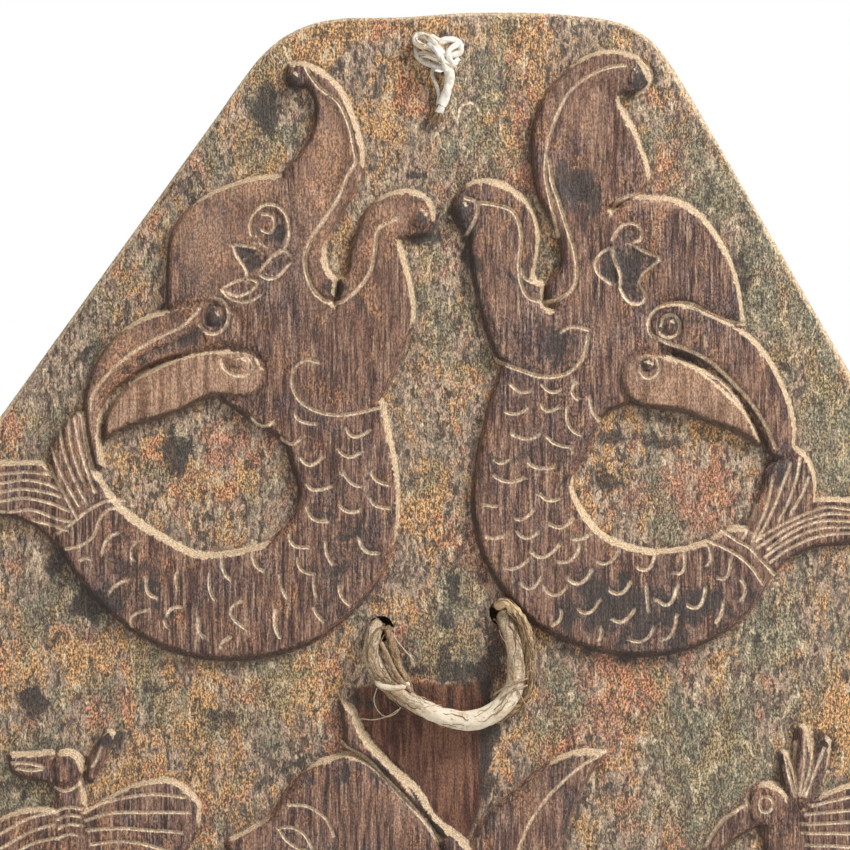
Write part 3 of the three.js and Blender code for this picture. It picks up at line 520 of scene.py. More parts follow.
# Scales: short curved cuts along each fish, each by its start, middle and end

LEFT_SCALES = (
    "252,418 262,426 274,422; 296,416 303,422 316,424; 281,438 292,444 301,438; "
    "347,430 356,437 370,430; 301,458 310,465 321,459; 339,450 349,457 360,453; 307,484 316,490 332,486; "
    "345,475 353,484 362,486; 372,473 378,481 390,485; 307,508 314,519 326,521; 341,507 350,512 361,510; "
    "371,500 377,506 389,508; 290,534 294,545 308,547; 326,542 327,554 333,564; 360,541 366,551 377,553; "
    "118,533 108,539 103,551; 137,542 132,550 133,559; 81,560 86,558 91,559; 222,556 224,571 230,579; "
    "253,553 256,565 264,571; 298,559 302,570 315,574; 110,592 118,584 128,580; 147,579 148,591 155,597; "
    "177,574 176,581 178,588; 210,574 210,588 214,598; 280,576 282,588 287,597; 314,576 314,586 316,597; "
    "314,608 317,614 322,620; 339,586 342,597 349,604; 132,626 133,616 147,610; 165,620 166,624 168,627; "
    "168,613 173,608 181,607; 199,619 199,630 202,635; 239,602 231,613 245,628; 276,610 275,625 280,637; "
    "221,647 223,642 231,637"
)
RIGHT_SCALES = (
    "511,385 520,392 530,391; 542,385 551,392 560,390; 574,385 572,393 578,399; "
    "506,412 516,414 527,409; 541,404 548,411 560,406; 590,400 593,413 601,420; 567,408 569,426 581,435; "
    "514,435 527,439 539,435; 547,437 556,444 569,447; 495,460 501,463 509,460; 529,463 539,468 554,467; "
    "496,477 510,482 523,478; 541,495 549,500 561,498; 487,505 492,506 497,506; 516,519 525,518 534,509; "
    "552,525 562,527 572,520; 487,537 495,538 504,536; 518,533 527,538 537,533; 574,539 581,539 590,534; "
    "533,553 544,557 558,546; 597,561 608,563 617,553; 558,562 572,559 580,545; 506,568 516,568 527,561; "
    "638,568 649,568 655,553; 676,573 683,570 684,553; 708,564 711,556 708,545; 719,578 727,576 730,561; "
    "742,598 745,589 741,580; 523,585 532,588 541,578; 569,580 580,583 590,573; 546,590 556,595 567,587; "
    "609,590 621,593 630,582; 659,601 669,604 676,589; 687,605 699,606 705,589; 552,625 560,619 561,610; "
    "580,611 590,612 598,602; 613,619 623,621 634,610; 715,622 720,616 723,604; 599,640 601,635 601,629; "
    "631,640 644,640 653,629; 664,639 672,633 676,617; 646,587 647,599 648,611"
)


def scale_cuts(places):
    cuts = []
    for mark in places.split(";"):
        knots = [[float(number) for number in place.split(",")] for place in mark.split()]
        start, middle, end = np.array(knots)
        bulge = 2 * middle - (start + end) / 2
        t = np.linspace(0, 1, 11)[:, None]
        arc = (1 - t) ** 2 * start + 2 * t * (1 - t) * bulge + t**2 * end
        cuts.append((random.uniform(0.9, 1.3), random.uniform(0.7, 1.0), evenly(arc, 2.2)))
    return cuts


SCALES = scale_cuts(LEFT_SCALES) + scale_cuts(RIGHT_SCALES)

# Sunk places: (depth, width of the sloping wall, darkness of the floor, outline). The darkness is painted shade on the
# sunk floors.

SUNK = [
    (1.5, 10, 0.0, [[[313, 92], [322, 91], [334, 98], [343, 112], [348, 126], [351, 141], [350, 158],
                     [345, 176], [336, 196], [326, 212]], [[326, 212], [314, 200], [304, 182], [306, 150],
                                                          [313, 130], [315, 112], [313, 92]]]),
    (1.5, 10, 0.0, [[[618, 76], [600, 78], [585, 86], [573, 98], [563, 116], [556, 135], [553, 155],
                     [556, 175], [562, 195], [572, 215]],
                    [[572, 215], [590, 200], [606, 182], [616, 160], [621, 132], [618, 105], [618, 76]]]),
    (1.6, 4.5, 0.55, [[[203, 320], [190, 331], [168, 341], [146, 350], [124, 364], [108, 381],
                       [98, 398], [96, 412]],
                      [[96, 412], [105, 397], [116, 385], [134, 373], [152, 362], [172, 354],
                       [196, 347], [208, 343]], [[208, 343], [203, 320]]]),
    (1.8, 4, 0.6, [[[668, 345], [685, 350], [702, 357], [716, 366], [731, 379], [744, 393], [757, 410],
                    [768, 430], [775, 450]],
                   [[775, 450], [764, 446], [752, 426], [738, 409], [722, 393], [706, 379], [690, 368],
                    [671, 357]], [[671, 357], [668, 345]]]),
    (1.0, 3, 0.35, [[[271, 208], [283, 214], [287, 229], [283, 245], [272, 250], [259, 245],
                     [254, 230], [258, 214], [271, 208]]]),
    (1.1, 2.6, 0.6, [[[234, 245], [245, 247], [257, 249]], [[257, 249], [265, 254], [268, 260]],
                     [[268, 260], [262, 268], [258, 280], [250, 286]],
                     [[250, 286], [247, 274], [240, 262], [236, 252], [234, 245]]]),
    (0.9, 2.6, 0.45, [[[262, 275], [272, 262], [286, 252]], [[286, 252], [291, 257], [288, 267], [277, 276],
                                                          [262, 275]]]),
    (0.9, 2.6, 0.45, [[[222, 290], [234, 282], [247, 278], [257, 286]],
                      [[257, 286], [246, 294], [233, 295], [222, 290]]]),
    (0.9, 2.6, 0.5, [[[214, 301], [225, 306], [228, 317], [221, 328], [209, 329], [202, 319], [205, 307],
                      [214, 301]]]),
    (1.2, 3, 0.6, [[[630, 225], [641, 230], [641, 237], [632, 243]],
                   [[632, 243], [641, 251], [659, 258]], [[659, 258], [653, 268], [643, 277], [639, 286]],
                   [[639, 286], [645, 292], [645, 299], [637, 304], [627, 302]],
                   [[627, 302], [620, 290], [619, 272], [613, 246], [618, 232], [630, 225]]]),
    (0.9, 3, 0.4, [[[612, 241], [601, 251], [596, 263], [600, 275], [611, 284]],
                   [[611, 284], [617, 284], [616, 266], [612, 241]]]),
    (0.9, 3, 0.6, [[[671, 314], [681, 319], [683, 329], [675, 338], [662, 337], [656, 328], [660, 317],
                    [671, 314]]]),
    (0.7, 2.4, 0.5, [[[647, 357], [655, 361], [655, 369], [647, 374], [639, 369], [639, 361], [647, 357]]]),
    (1.7, 3.5, 0.65, [[[350, 716], [357, 733], [369, 750], [387, 768], [405, 788], [421, 812], [435, 837]],
                      [[435, 837], [447, 838]],
                      [[447, 838], [438, 818], [424, 796], [408, 776], [390, 757], [375, 741],
                       [364, 722], [355, 711]], [[355, 711], [350, 716]]]),
    (1.0, 5, 0.35, [[[478, 250], [476, 285], [482, 318], [493, 345]], [[493, 345], [500, 342], [491, 312],
                                                                 [486, 280], [484, 250]],
                    [[484, 250], [478, 250]]]),
]
SUNK_FORMS = [(depth, slope, dark, outline_form(lines)) for depth, slope, dark, lines in SUNK]

# Places where one colour of the old paint, or wear, is stronger: centre, half sizes and amount. Besides real stains and
# wear, some dark places are painted shade and shadow, on the knobs, under the tusks, beside the sling and on the
# hollow's right wall, and some pale places are painted highlights, on the right head's top, the left crest, the tusk
# and the top rim.

PATCHES = {
    "green": [(255, 120, 18, 55, 0.8), (290, 135, 22, 30, 0.6), (215, 160, 14, 24, 0.7), (495, 130, 55, 60, 0.6),
              (800, 320, 50, 110, 1.0), (760, 215, 40, 70, 0.9), (700, 150, 36, 55, 0.5), (840, 430, 30, 60, 0.9),
              (45, 425, 40, 22, 0.7), (60, 600, 60, 40, 0.7), (140, 700, 60, 30, 0.5), (20, 780, 40, 50, 0.9),
              (430, 640, 26, 20, 0.8), (455, 605, 18, 34, 0.8), (445, 668, 40, 14, 0.9), (700, 740, 60, 50, 0.8),
              (770, 640, 70, 36, 0.9), (710, 790, 50, 60, 1.0), (560, 700, 26, 30, 0.4), (225, 720, 30, 20, 0.8),
              (790, 700, 20, 30, 0.6), (190, 440, 20, 20, 0.5)],
    "red": [(405, 88, 14, 20, 1.0), (428, 110, 30, 16, 0.7), (520, 105, 16, 40, 0.7), (480, 180, 60, 22, 0.8),
            (683, 146, 9, 10, 2.5), (440, 678, 40, 14, 1.0), (497, 645, 10, 28, 1.2), (230, 445, 36, 22, 0.8),
            (690, 490, 50, 34, 1.0), (620, 705, 36, 40, 0.8), (560, 735, 30, 34, 0.8), (350, 735, 24, 28, 0.7),
            (115, 705, 22, 20, 0.7), (455, 560, 24, 30, 0.6), (40, 820, 30, 14, 0.5), (640, 650, 40, 22, 0.6),
            (420, 620, 16, 14, 0.9), (205, 790, 24, 40, 0.5)],
    "ochre": [(265, 75, 26, 26, 0.9), (310, 45, 40, 22, 0.8), (370, 28, 90, 16, 0.6), (520, 40, 50, 20, 0.6),
              (215, 487, 44, 14, 1.2), (424, 626, 14, 12, 1.4), (440, 642, 12, 12, 1.4), (90, 655, 40, 26, 0.7),
              (190, 715, 50, 26, 0.7), (20, 660, 26, 20, 0.7), (300, 690, 40, 30, 0.9), (545, 745, 30, 26, 0.7),
              (645, 675, 36, 18, 0.8), (779, 362, 9, 10, 2.6), (420, 330, 22, 60, 0.4), (430, 500, 26, 60, 0.6),
              (150, 780, 60, 40, 0.7), (400, 100, 16, 30, 0.6), (840, 720, 30, 60, 0.6), (700, 430, 20, 10, 0.6),
              (600, 760, 30, 20, 0.6), (230, 170, 30, 12, 0.5)],
    "dark": [(294, 80, 9, 10, 1.2), (423, 224, 12, 13, 0.9), (461, 215, 12, 14, 1.1), (641, 82, 9, 13, 1.1),
             (335, 289, 14, 7, 0.9), (424, 238, 14, 5, 1.2), (655, 75, 6, 14, 0.8), (278, 240, 10, 9, 0.6), (174, 455, 15, 20, 1.6), (265, 106, 16, 24, 1.0), (52, 562, 14, 12, 1.3), (95, 598, 22, 16, 1.2),
             (217, 718, 20, 12, 1.2), (60, 640, 14, 10, 1.0), (150, 690, 12, 12, 0.9), (610, 482, 18, 12, 1.0),
             (640, 440, 50, 10, 1.0), (578, 190, 26, 34, 0.9), (419, 175, 10, 5, 1.6), (455, 600, 16, 26, 0.7),
             (395, 695, 50, 12, 0.7), (452, 672, 44, 12, 0.9), (497, 640, 10, 30, 1.0), (470, 250, 8, 50, 0.7),
             (650, 610, 110, 44, 0.7), (520, 440, 46, 70, 0.35), (350, 520, 46, 90, 0.35), (360, 310, 30, 60, 0.2),
             (560, 340, 28, 36, 0.6), (120, 590, 50, 40, 0.4), (190, 200, 16, 8, 0.3), (420, 760, 12, 60, 0.3),
             (487, 740, 10, 70, 1.2), (575, 800, 30, 40, 0.5), (440, 520, 14, 20, 0.3), (700, 600, 14, 14, 0.5),
             (300, 770, 80, 16, 0.5), (740, 290, 30, 40, 0.3), (30, 700, 16, 14, 1.0), (110, 740, 20, 12, 0.9),
             (600, 600, 60, 40, 0.3), (828, 740, 16, 16, 0.8), (790, 470, 30, 30, 0.4), (232, 330, 20, 20, 0.3)],
    "smooth": [(330, 150, 30, 70, 1.0), (220, 240, 60, 60, 0.8), (360, 300, 50, 60, 0.6), (150, 360, 70, 50, 0.9),
               (390, 215, 36, 24, 0.7), (590, 110, 40, 50, 0.5), (690, 390, 50, 26, 0.8), (330, 270, 30, 30, 0.6)],
    "pale": [(330, 140, 16, 46, 0.9), (245, 190, 34, 12, 0.8), (205, 240, 34, 44, 0.8), (120, 345, 46, 22, 0.6),
             (668, 203, 34, 6, 1.4), (320, 230, 30, 60, 0.6), (390, 215, 26, 16, 0.6), (690, 385, 44, 16, 0.7),
             (180, 385, 50, 14, 0.7), (560, 88, 30, 30, 0.3), (592, 120, 16, 24, 0.6), (600, 330, 16, 20, 0.5),
             (540, 800, 16, 30, 0.5), (420, 22, 160, 8, 0.5), (500, 270, 12, 60, 0.3), (400, 795, 12, 50, 0.4),
             (100, 410, 40, 22, 0.3)],
}

# The plank

PLANK_OUTLINE = [
    [[345, 17], [405, 16], [465, 12], [540, 12], [600, 17]],
    [[600, 17], [626, 24], [652, 40], [672, 65], [694, 100]],
    [[694, 100], [972, 582]], [[972, 582], [982, 600], [985, 622]],
    [[985, 622], [985, 1010]], [[985, 1010], [982, 1028], [972, 1042]],
    [[972, 1042], [652, 1436]], [[652, 1436], [638, 1448], [616, 1452]],
    [[616, 1452], [280, 1452]], [[280, 1452], [258, 1448], [244, 1436]],
    [[244, 1436], [-82, 1042]], [[-82, 1042], [-92, 1028], [-95, 1010]],
    [[-95, 1010], [-95, 572]], [[-95, 572], [-92, 552], [-82, 529]],
    [[-82, 529], [217, 115]], [[217, 115], [240, 82], [262, 54], [285, 35], [315, 22], [345, 17]],
]
HOLLOW_OUTLINE = [
    [[350, 688], [395, 680], [445, 683], [491, 679]],
    [[491, 679], [492, 740], [488, 776], [481, 812], [468, 843]],
    [[468, 843], [440, 822], [416, 790], [384, 756], [360, 722], [350, 688]],
]
HOLLOW_DEPTH = 4.0
HANGING_HOLE = (-0.0020, 0.2680, 0.0039)
SLING_HOLES = {"left": (-0.0256, 0.0412, 0.0052), "right": (0.0228, 0.0476, 0.0052)}
HANGING_POCKET = {"half_width": 0.0105, "bottom": 0.2600, "top": 0.2825, "depth": 0.0066}
KNOT_POCKET = {"radius": 0.0075, "depth": 0.0082}

OUTLINE = closed_outline(PLANK_OUTLINE, 3.2)
HOLLOW = closed_outline(HOLLOW_OUTLINE, 3.2)
HOLES = [HANGING_HOLE] + list(SLING_HOLES.values())


def on_drawing(x, z):
    return np.array([x / SQUARE + MIDDLE_X, MIDDLE_Y - z / SQUARE])


TONES = ("figure", "line", "edge", "crease_shade", "tusk", "hollow", "green", "red", "ochre", "dark", "pale", "smooth")


def carve(points):
    """The relief's height and the amounts of each tone at drawing points."""
    count = len(points)
    x, y = points.T
    height = 0.22 * waves(x, y, 34, 1) + 0.14 * waves(x, y, 11, 2)
    tones = {name: np.zeros(count) for name in TONES}

    depth = np.where(inside_polygon(points, HOLLOW), 1, -1) * distance_to_line(points, HOLLOW, closed=True)
    scooped = smoothstep(depth, -1.5, 9)
    height = height - HOLLOW_DEPTH * scooped * (0.75 + 0.25 * smoothstep(y, 700, 760))
    tones["hollow"] = smoothstep(depth, -2, 4)

    for number, form in enumerate(FORMS):
        near = form.near(points)
        if not len(near):
            continue
        spot = points[near]
        inside = form.depth_inside(spot) + 0.35 * waves(spot[:, 0], spot[:, 1], 21, 20 + number)
        rise = smoothstep(inside, -0.8, form.slope)
        dome = form.dome * (1 - np.exp(-np.maximum(inside, 0) / 22))
        rough = 0.20 * waves(spot[:, 0], spot[:, 1], 19, 50 + number)
        own = (form.top - form.dome + dome + rough) * rise
        outside = np.maximum(-inside, 0)
        moat = form.moat * np.exp(-(outside / 4.5) ** 2) * smoothstep(height[near], 2.5, 4)
        below = height[near] - moat
        covers = smoothstep(own - below, -0.15, 0.25) * smoothstep(inside, -0.8, 0.6)
        for name, own_tone in (("figure", 1), ("tusk", form.tusk), ("crease_shade", 0), ("hollow", 0)):
            tones[name][near] = tones[name][near] * (1 - covers) + own_tone * covers
        # Painted shade in the crease at the foot of each form, where it meets the surface below.
        foot = 0.75 * np.exp(-outside / 2.2) * smoothstep(outside, 0, 1) * (1 - covers)
        lower = smoothstep(form.top - below, 0.3, 1.5)
        tones["crease_shade"][near] = np.maximum(tones["crease_shade"][near], foot * lower)
        height[near] = np.maximum(below, own)

    for depth, slope, dark, form in SUNK_FORMS:
        near = form.near(points)
        inside = form.depth_inside(points[near])
        height[near] -= depth * smoothstep(inside, -0.6, slope)
        # Painted shade: the floor of each sunk place is darkened.
        tones["dark"][near] += dark * smoothstep(inside, 0, 2.5)

    for cuts, paleness in ((LINES, 1.0), (SCALES, 1.0)):
        for half, depth, line in cuts:
            low, high = line.min(axis=0) - 6, line.max(axis=0) + 6
            near = np.flatnonzero(((points > low) & (points < high)).all(axis=1))
            if not len(near):
                continue
            distance = distance_to_line(points[near], line)
            cut = np.clip(1 - distance / (half + 0.9), 0, 1)
            lip = np.exp(-(((distance - half - 1.6) / 1.2) ** 2))
            fill = paleness * (0.80 + 0.20 * waves(*points[near].T, 9, 5))
            height[near] += 0.12 * lip - depth * cut
            tones["line"][near] = np.maximum(tones["line"][near], fill * smoothstep(cut, 0.02, 0.7))

    rim_distance = distance_to_line(points, OUTLINE, closed=True)
    worn = 1 - smoothstep(rim_distance, 0, 7 + 3 * waves(x, y, 40, 9))
    height = height - (1.5 + 0.5 * waves(x, y, 23, 8)) * worn**1.5
    tones["edge"] = 0.7 * worn

    for name, patches in PATCHES.items():
        for px, py, half_width, half_height, amount in patches:
            across = (x - px) / half_width + 0.35 * waves(x, y, 16, 71)
            down = (y - py) / half_height + 0.35 * waves(x, y, 16, 72)
            tones[name] += amount * np.exp(-(across**2 + down**2) ** 1.5)
    return height, tones


LIGHTWARD = np.array([0.55, -0.83])


def paint_slope_light_and_shade(points, faces, height, tones):
    """Painted light: slopes that face up and to the right, towards the key light, get a painted highlight, and slopes
    that face away get painted shade.
    """
    spots = np.column_stack([points * SQUARE / MM, height])
    corner = spots[faces]
    normal = np.cross(corner[:, 1] - corner[:, 0], corner[:, 2] - corner[:, 0])
    normal *= np.sign(normal[:, 2:])
    total = np.zeros((len(points), 3))
    for k in range(3):
        np.add.at(total, faces[:, k], normal)
    facing = (total[:, :2] @ LIGHTWARD) / np.maximum(total[:, 2], 1e-9)
    uneven = waves(*points.T, 14, 61)
    painted_highlight = smoothstep(facing + 0.12 * uneven, 0.45, 1.15)
    painted_shade = smoothstep(-facing + 0.12 * uneven, 0.35, 1.1)
    tones["edge"] = np.maximum(tones["edge"], painted_highlight)
    tones["crease_shade"] = np.maximum(tones["crease_shade"], 0.85 * painted_shade) * (1 - tones["line"])


# Mesh points: rows along every edge and cut, then a net of loose points between them

def free_of(taken, points, gap):
    """Drops points nearer than the gap to taken cells, and thins the rest to one per cell."""
    cells = np.floor((points - GRID_LOW) / gap).astype(int)
    _, first = np.unique(cells[:, 0] * 100000 + cells[:, 1], return_index=True)
    points = points[np.sort(first)]
    cell = np.floor(points - GRID_LOW).astype(int)
    return points[~taken[cell[:, 0], cell[:, 1]]]


def mark(taken, points, reach):
    spread = range(-reach, reach + 1)
    cell = np.floor(points - GRID_LOW).astype(int)
    for i in spread:
        for j in spread:
            if i * i + j * j <= reach * reach + 0.5:
                taken[cell[:, 0] + i, cell[:, 1] + j] = True


GRID_LOW = OUTLINE.min(axis=0) - 20
GRID_SIZE = (OUTLINE.max(axis=0) - GRID_LOW + 40).astype(int)


def mesh_points():
    groups = []
    cut_rows = []
    for half, depth, line in LINES + SCALES:
        across = normals_of(line)
        cut_rows += [line + offset * across for offset in (0, 1.0, -1.0, half + 1.3, -half - 1.3)]
    groups.append((np.vstack(cut_rows), 0.9))
    sunk_rows = [form.rows((1.5, 0, -1.6, -3.2, -5.5)) for _, _, _, form in SUNK_FORMS]
    groups.append((np.vstack(sunk_rows), 1.6))
    edge_rows = []
    for number, form in enumerate(FORMS):
        row = form.rows()
        covered = np.zeros(len(row), bool)
        for upper in FORMS[number + 1:]:
            near = upper.near(row)
            covered[near] |= upper.depth_inside(row[near]) > 8
        edge_rows.append(row[~covered])
    hollow_line = evenly(np.vstack([HOLLOW, HOLLOW[:1]]), 4)
    across = normals_of(hollow_line)
    edge_rows += [hollow_line + offset * across for offset in (-10, -6, -3, 0, 3, 6, 10)]
    groups.append((np.vstack(edge_rows), 1.9))
    rim = evenly(np.vstack([OUTLINE, OUTLINE[:1]]), 4)
    across = normals_of(rim)
    groups.append((np.vstack([rim + offset * across for offset in (-7, -4.5, -2.2, 2.2, 4.5, 7)]), 2.0))
    spots = [on_drawing(hx, hz) + oval((0, 0), (radius / SQUARE + more, radius / SQUARE + more), 24)
             for hx, hz, radius in HOLES for more in (2, 5)]
    groups.append((np.vstack(spots), 2.0))
    across_grid = np.arange(0, GRID_SIZE[0] - 1, 5.6)
    down_grid = np.arange(0, GRID_SIZE[1] - 1, 5.6)
    net = np.stack(np.meshgrid(across_grid, down_grid), axis=-1).reshape(-1, 2) + GRID_LOW
    groups.append((net + random.uniform(-1.6, 1.6, net.shape), 3.6))

    taken = np.zeros(GRID_SIZE + 4, bool)
    kept = []
    for points, gap in groups:
        limit = (points > GRID_LOW + 6) & (points < GRID_LOW + GRID_SIZE - 6)
        points = points[limit.all(axis=1)]
        points = points[inside_polygon(points, OUTLINE)]
        points = points[distance_to_line(points, OUTLINE, closed=True) > 1.6]
        for hx, hz, radius in HOLES:
            points = points[np.hypot(*(points - on_drawing(hx, hz)).T) > radius / SQUARE + 1.4]
        points = free_of(taken, points, gap)
        mark(taken, points, 1 if gap < 1.7 else 2)
        kept.append(points)
    return np.vstack(kept)


# Building meshes

class Builder:
    """Collects vertices with their tones, and faces with their material."""

    def __init__(self):
        self.vertices, self.faces, self.materials, self.tones = [], [], [], []

    def add(self, positions, tones=None):
        start = len(self.vertices)
        self.vertices += [tuple(position) for position in positions]
        self.tones += list(tones) if tones is not None else [(0,) * len(TONES)] * len(positions)
        return list(range(start, len(self.vertices)))

    def face(self, corners, material=0):
        self.faces.append(tuple(corners))
        self.materials.append(material)

    def wall(self, first, second, material=0):
        """Quads between two closed rings of the same length."""
        for i in range(len(first)):
            j = (i + 1) % len(first)
            self.face((first[i], first[j], second[j], second[i]), material)

    def sheet(self, rings, depth, material, flip):
        """A flat face at that depth, bounded by the first ring, with the other rings as holes."""
        flat = [Vector((self.vertices[i][0], self.vertices[i][2])) for ring in rings for i in ring]
        index = [i for ring in rings for i in ring]
        edges, start = [], 0
        for ring in rings:
            edges += [(start + i, start + (i + 1) % len(ring)) for i in range(len(ring))]
            start += len(ring)
        _, _, faces, _, _, _ = delaunay_2d_cdt(flat, edges, [], 0, 1e-9)
        middles = np.array([[sum(flat[i][k] for i in f) / 3 for k in (0, 1)] for f in faces])
        outer = np.array([flat[i] for i in range(len(rings[0]))])
        keep = inside_polygon(middles, outer)
        start = len(rings[0])
        for ring in rings[1:]:
            hole = np.array([flat[start + i] for i in range(len(ring))])
            keep &= ~inside_polygon(middles, hole)
            start += len(ring)
        for corners, kept in zip(faces, keep):
            if kept:
                corners = [index[i] for i in corners]
                self.face(corners[::-1] if flip else corners, material)

    def finish(self, name, materials):
        mesh = bpy.data.meshes.new(name)
        mesh.from_pydata(self.vertices, [], self.faces)
        for material in materials:
            mesh.materials.append(material)
        mesh.polygons.foreach_set("material_index", self.materials)
        mesh.polygons.foreach_set("use_smooth", [True] * len(self.faces))
        tones = np.array(self.tones, float)
        for number, label in enumerate(("tones_a", "tones_b", "tones_c", "tones_d")):
            layer = mesh.attributes.new(label, "FLOAT_COLOR", "POINT")
            block = np.ones((len(tones), 4))
            block[:, :3] = tones[:, number * 3:number * 3 + 3]
            layer.data.foreach_set("color", block.ravel())
        mesh.update()
        piece = bpy.data.objects.new(name, mesh)
        bpy.context.scene.collection.objects.link(piece)
        return piece


def tone_rows(tones):
    return np.column_stack([tones[name] for name in TONES])


def ring(x, z, radius, depth, sides=24):
    turn = np.linspace(0, 2 * math.pi, sides, endpoint=False)
    return [(x + radius * math.cos(t), -depth, z + radius * math.sin(t)) for t in turn]


def pocket_ring(depth, sides=24):
    """The hanging cord's pocket is nearly square; its ring has as many points as the hole's."""
    middle_z = (HANGING_POCKET["bottom"] + HANGING_POCKET["top"]) / 2
    half_height = (HANGING_POCKET["top"] - HANGING_POCKET["bottom"]) / 2
    points = []
    for turn in np.linspace(0, 2 * math.pi, sides, endpoint=False):
        c, s = math.cos(turn), math.sin(turn)
        stretch = 1 / max(abs(c), abs(s)) ** 0.85
        points.append((HANGING_HOLE[0] + HANGING_POCKET["half_width"] * c * stretch, -depth,
                       middle_z + half_height * s * stretch))
    return points


def carved_panel(materials):
    builder = Builder()
    loops = [OUTLINE] + [on_drawing(hx, hz) + oval((0, 0), (radius / SQUARE,) * 2, 24)
                         for hx, hz, radius in HOLES]
    inner = mesh_points()
    points = np.vstack(loops + [inner])
    height, tones = carve(points)
    depth = THICKNESS + height * MM

    edges, start, rings = [], 0, []
    for loop in loops:
        ids = list(range(start, start + len(loop)))
        rings.append(ids)
        edges += [(ids[i], ids[(i + 1) % len(ids)]) for i in range(len(ids))]
        start += len(loop)
    flat = [Vector(point) for point in points]
    _, _, faces, _, _, _ = delaunay_2d_cdt(flat, edges, [], 0, 1e-6)
    faces = np.array([f for f in faces if len(f) == 3])
    middles = points[faces].mean(axis=1)
    keep = inside_polygon(middles, OUTLINE)
    for hx, hz, radius in HOLES:
        keep &= np.hypot(*(middles - on_drawing(hx, hz)).T) > radius / SQUARE * 0.97
    faces = faces[keep]
    paint_slope_light_and_shade(points, faces, height, tones)
    builder.add([place(x, y, d) for (x, y), d in zip(points, depth)], tone_rows(tones))
    for corners in faces:
        builder.face(corners[::-1])

    # The side: a few rings between the worn front edge and the back, drawn in a little at the back
    def side_ring(share, inset):
        pushed = OUTLINE - outward_normals(OUTLINE) * inset
        front = depth[:len(OUTLINE)]
        rough = 0.5 * waves(OUTLINE[:, 0] + 300 * share, OUTLINE[:, 1], 17, 31)
        return [place(px + r, py, d * share) for (px, py), d, r in zip(pushed, front, rough * (0 < share < 1))]

    previous = rings[0]
    for share, inset in ((0.93, 0.4), (0.66, 0.3), (0.33, 0.3), (0.04, 0.4), (0.0, 2.0)):
        following = builder.add(side_ring(share, inset))
        builder.wall(previous, following, 1)
        previous = following
    back_rings = [previous]

    pockets = [pocket_ring] + [lambda d, h=hole: ring(h[0], h[1], KNOT_POCKET["radius"], d)
                               for hole in SLING_HOLES.values()]
    depths = [HANGING_POCKET["depth"]] + [KNOT_POCKET["depth"]] * 2
    for (hx, hz, radius), hole_ring, make_pocket, pocket_depth in zip(HOLES, rings[1:], pockets, depths):
        bottom = builder.add(ring(hx, hz, radius, pocket_depth))
        # drawing loops turn the other way, because y runs downwards there
        matched = [bottom[-i % len(bottom)] for i in range(len(bottom))]
        builder.wall(hole_ring, matched, 1)
        floor = builder.add(make_pocket(pocket_depth))
        builder.sheet([floor, bottom], pocket_depth, 1, False)
        mouth = builder.add(make_pocket(0.0))
        builder.wall(floor, mouth, 1)
        back_rings.append(mouth)
    builder.sheet(back_rings, 0.0, 1, False)
    return builder.finish("carved_relief", materials)


# Cords

def frames_along(path):
    """Two unit vectors across the path at each point: the first lies in the panel's plane where the
    cord runs along the panel, and the second towards the back."""
    along = np.gradient(path, axis=0)
    along /= np.linalg.norm(along, axis=1, keepdims=True)
    back = np.array([0.0, 1.0, 0.0])
    side = np.cross(along[0], (0.3, 0.5, 0.2))
    firsts = []
    for direction in along:
        if abs(direction @ back) < 0.8:
            level = np.cross(direction, back)
            side = level * math.copysign(1, level @ side)
        side = side - direction * (side @ direction)
        side = side / np.linalg.norm(side)
        firsts.append(side)
    firsts = np.array(firsts)
    for _ in range(6):
        firsts[1:-1] = (firsts[:-2] + firsts[1:-1] + firsts[2:]) / 3
    firsts -= along * (firsts * along).sum(axis=1, keepdims=True)
    firsts /= np.linalg.norm(firsts, axis=1, keepdims=True)
    return firsts, np.cross(along, firsts)


def lengths_along(path):
    return np.concatenate([[0], np.cumsum(np.linalg.norm(np.diff(path, axis=0), axis=1))])


def tube(path, radius, sides=20, plies=0, twist=0.3, ply_depth=0.2, threads=0, thread_depth=0.05,
         rough=0.05, wide=1.0, deep=1.0, taper=None, tint=None, seed=0):
    """Vertices, faces and tints of a twisted cord; twist is in turns per diameter of length."""
    first, second = frames_along(path)
    lengths = lengths_along(path)
    turn = np.linspace(0, 2 * math.pi, sides, endpoint=False)
    rings, tints = [], []
    for point, a, b, length in zip(path, first, second, lengths):
        share = length / lengths[-1]
        winding = turn - 2 * math.pi * twist * length / (2 * radius)
        reach = 1 + rough * waves(np.cos(turn) * 1.6 + 9, np.sin(turn) * 1.6 + length / radius * 0.9, 1.0, seed)
        shade = 0.5 * waves(np.cos(turn) * 2 + 5, np.sin(turn) * 2 + length / radius, 0.9, seed + 40)
        # Painted shade: the grooves between plies and threads lower the tint, so they come out darker.
        for number, depth in ((plies, ply_depth), (threads, thread_depth)):
            if number:
                lobes = np.abs(np.sin(winding * number / 2)) ** 0.6
                reach = reach - depth * (1 - lobes)
                shade = shade - 0.5 * (1 - lobes) ** 2
        reach = radius * reach * (taper(share) if taper else 1)
        rings.append(point + reach[:, None] * (wide * np.cos(turn)[:, None] * a + deep * np.sin(turn)[:, None] * b))
        tints.append((tint(share) if tint else 0.5) + 0.25 * shade)
    vertices = np.vstack(rings + [path[:1], path[-1:]])
    tints = np.clip(np.concatenate(tints + [[0.3, 0.3]]), 0, 1)
    faces = []
    for i in range(len(path) - 1):
        for j in range(sides):
            k = (j + 1) % sides
            faces.append((i * sides + j, i * sides + k, (i + 1) * sides + k, (i + 1) * sides + j))
    start, stop = len(path) * sides, len(path) * sides + 1
    last = (len(path) - 1) * sides
    faces += [(start, (j + 1) % sides, j) for j in range(sides)]
    faces += [(stop, last + j, last + (j + 1) % sides) for j in range(sides)]
    return vertices, faces, tints


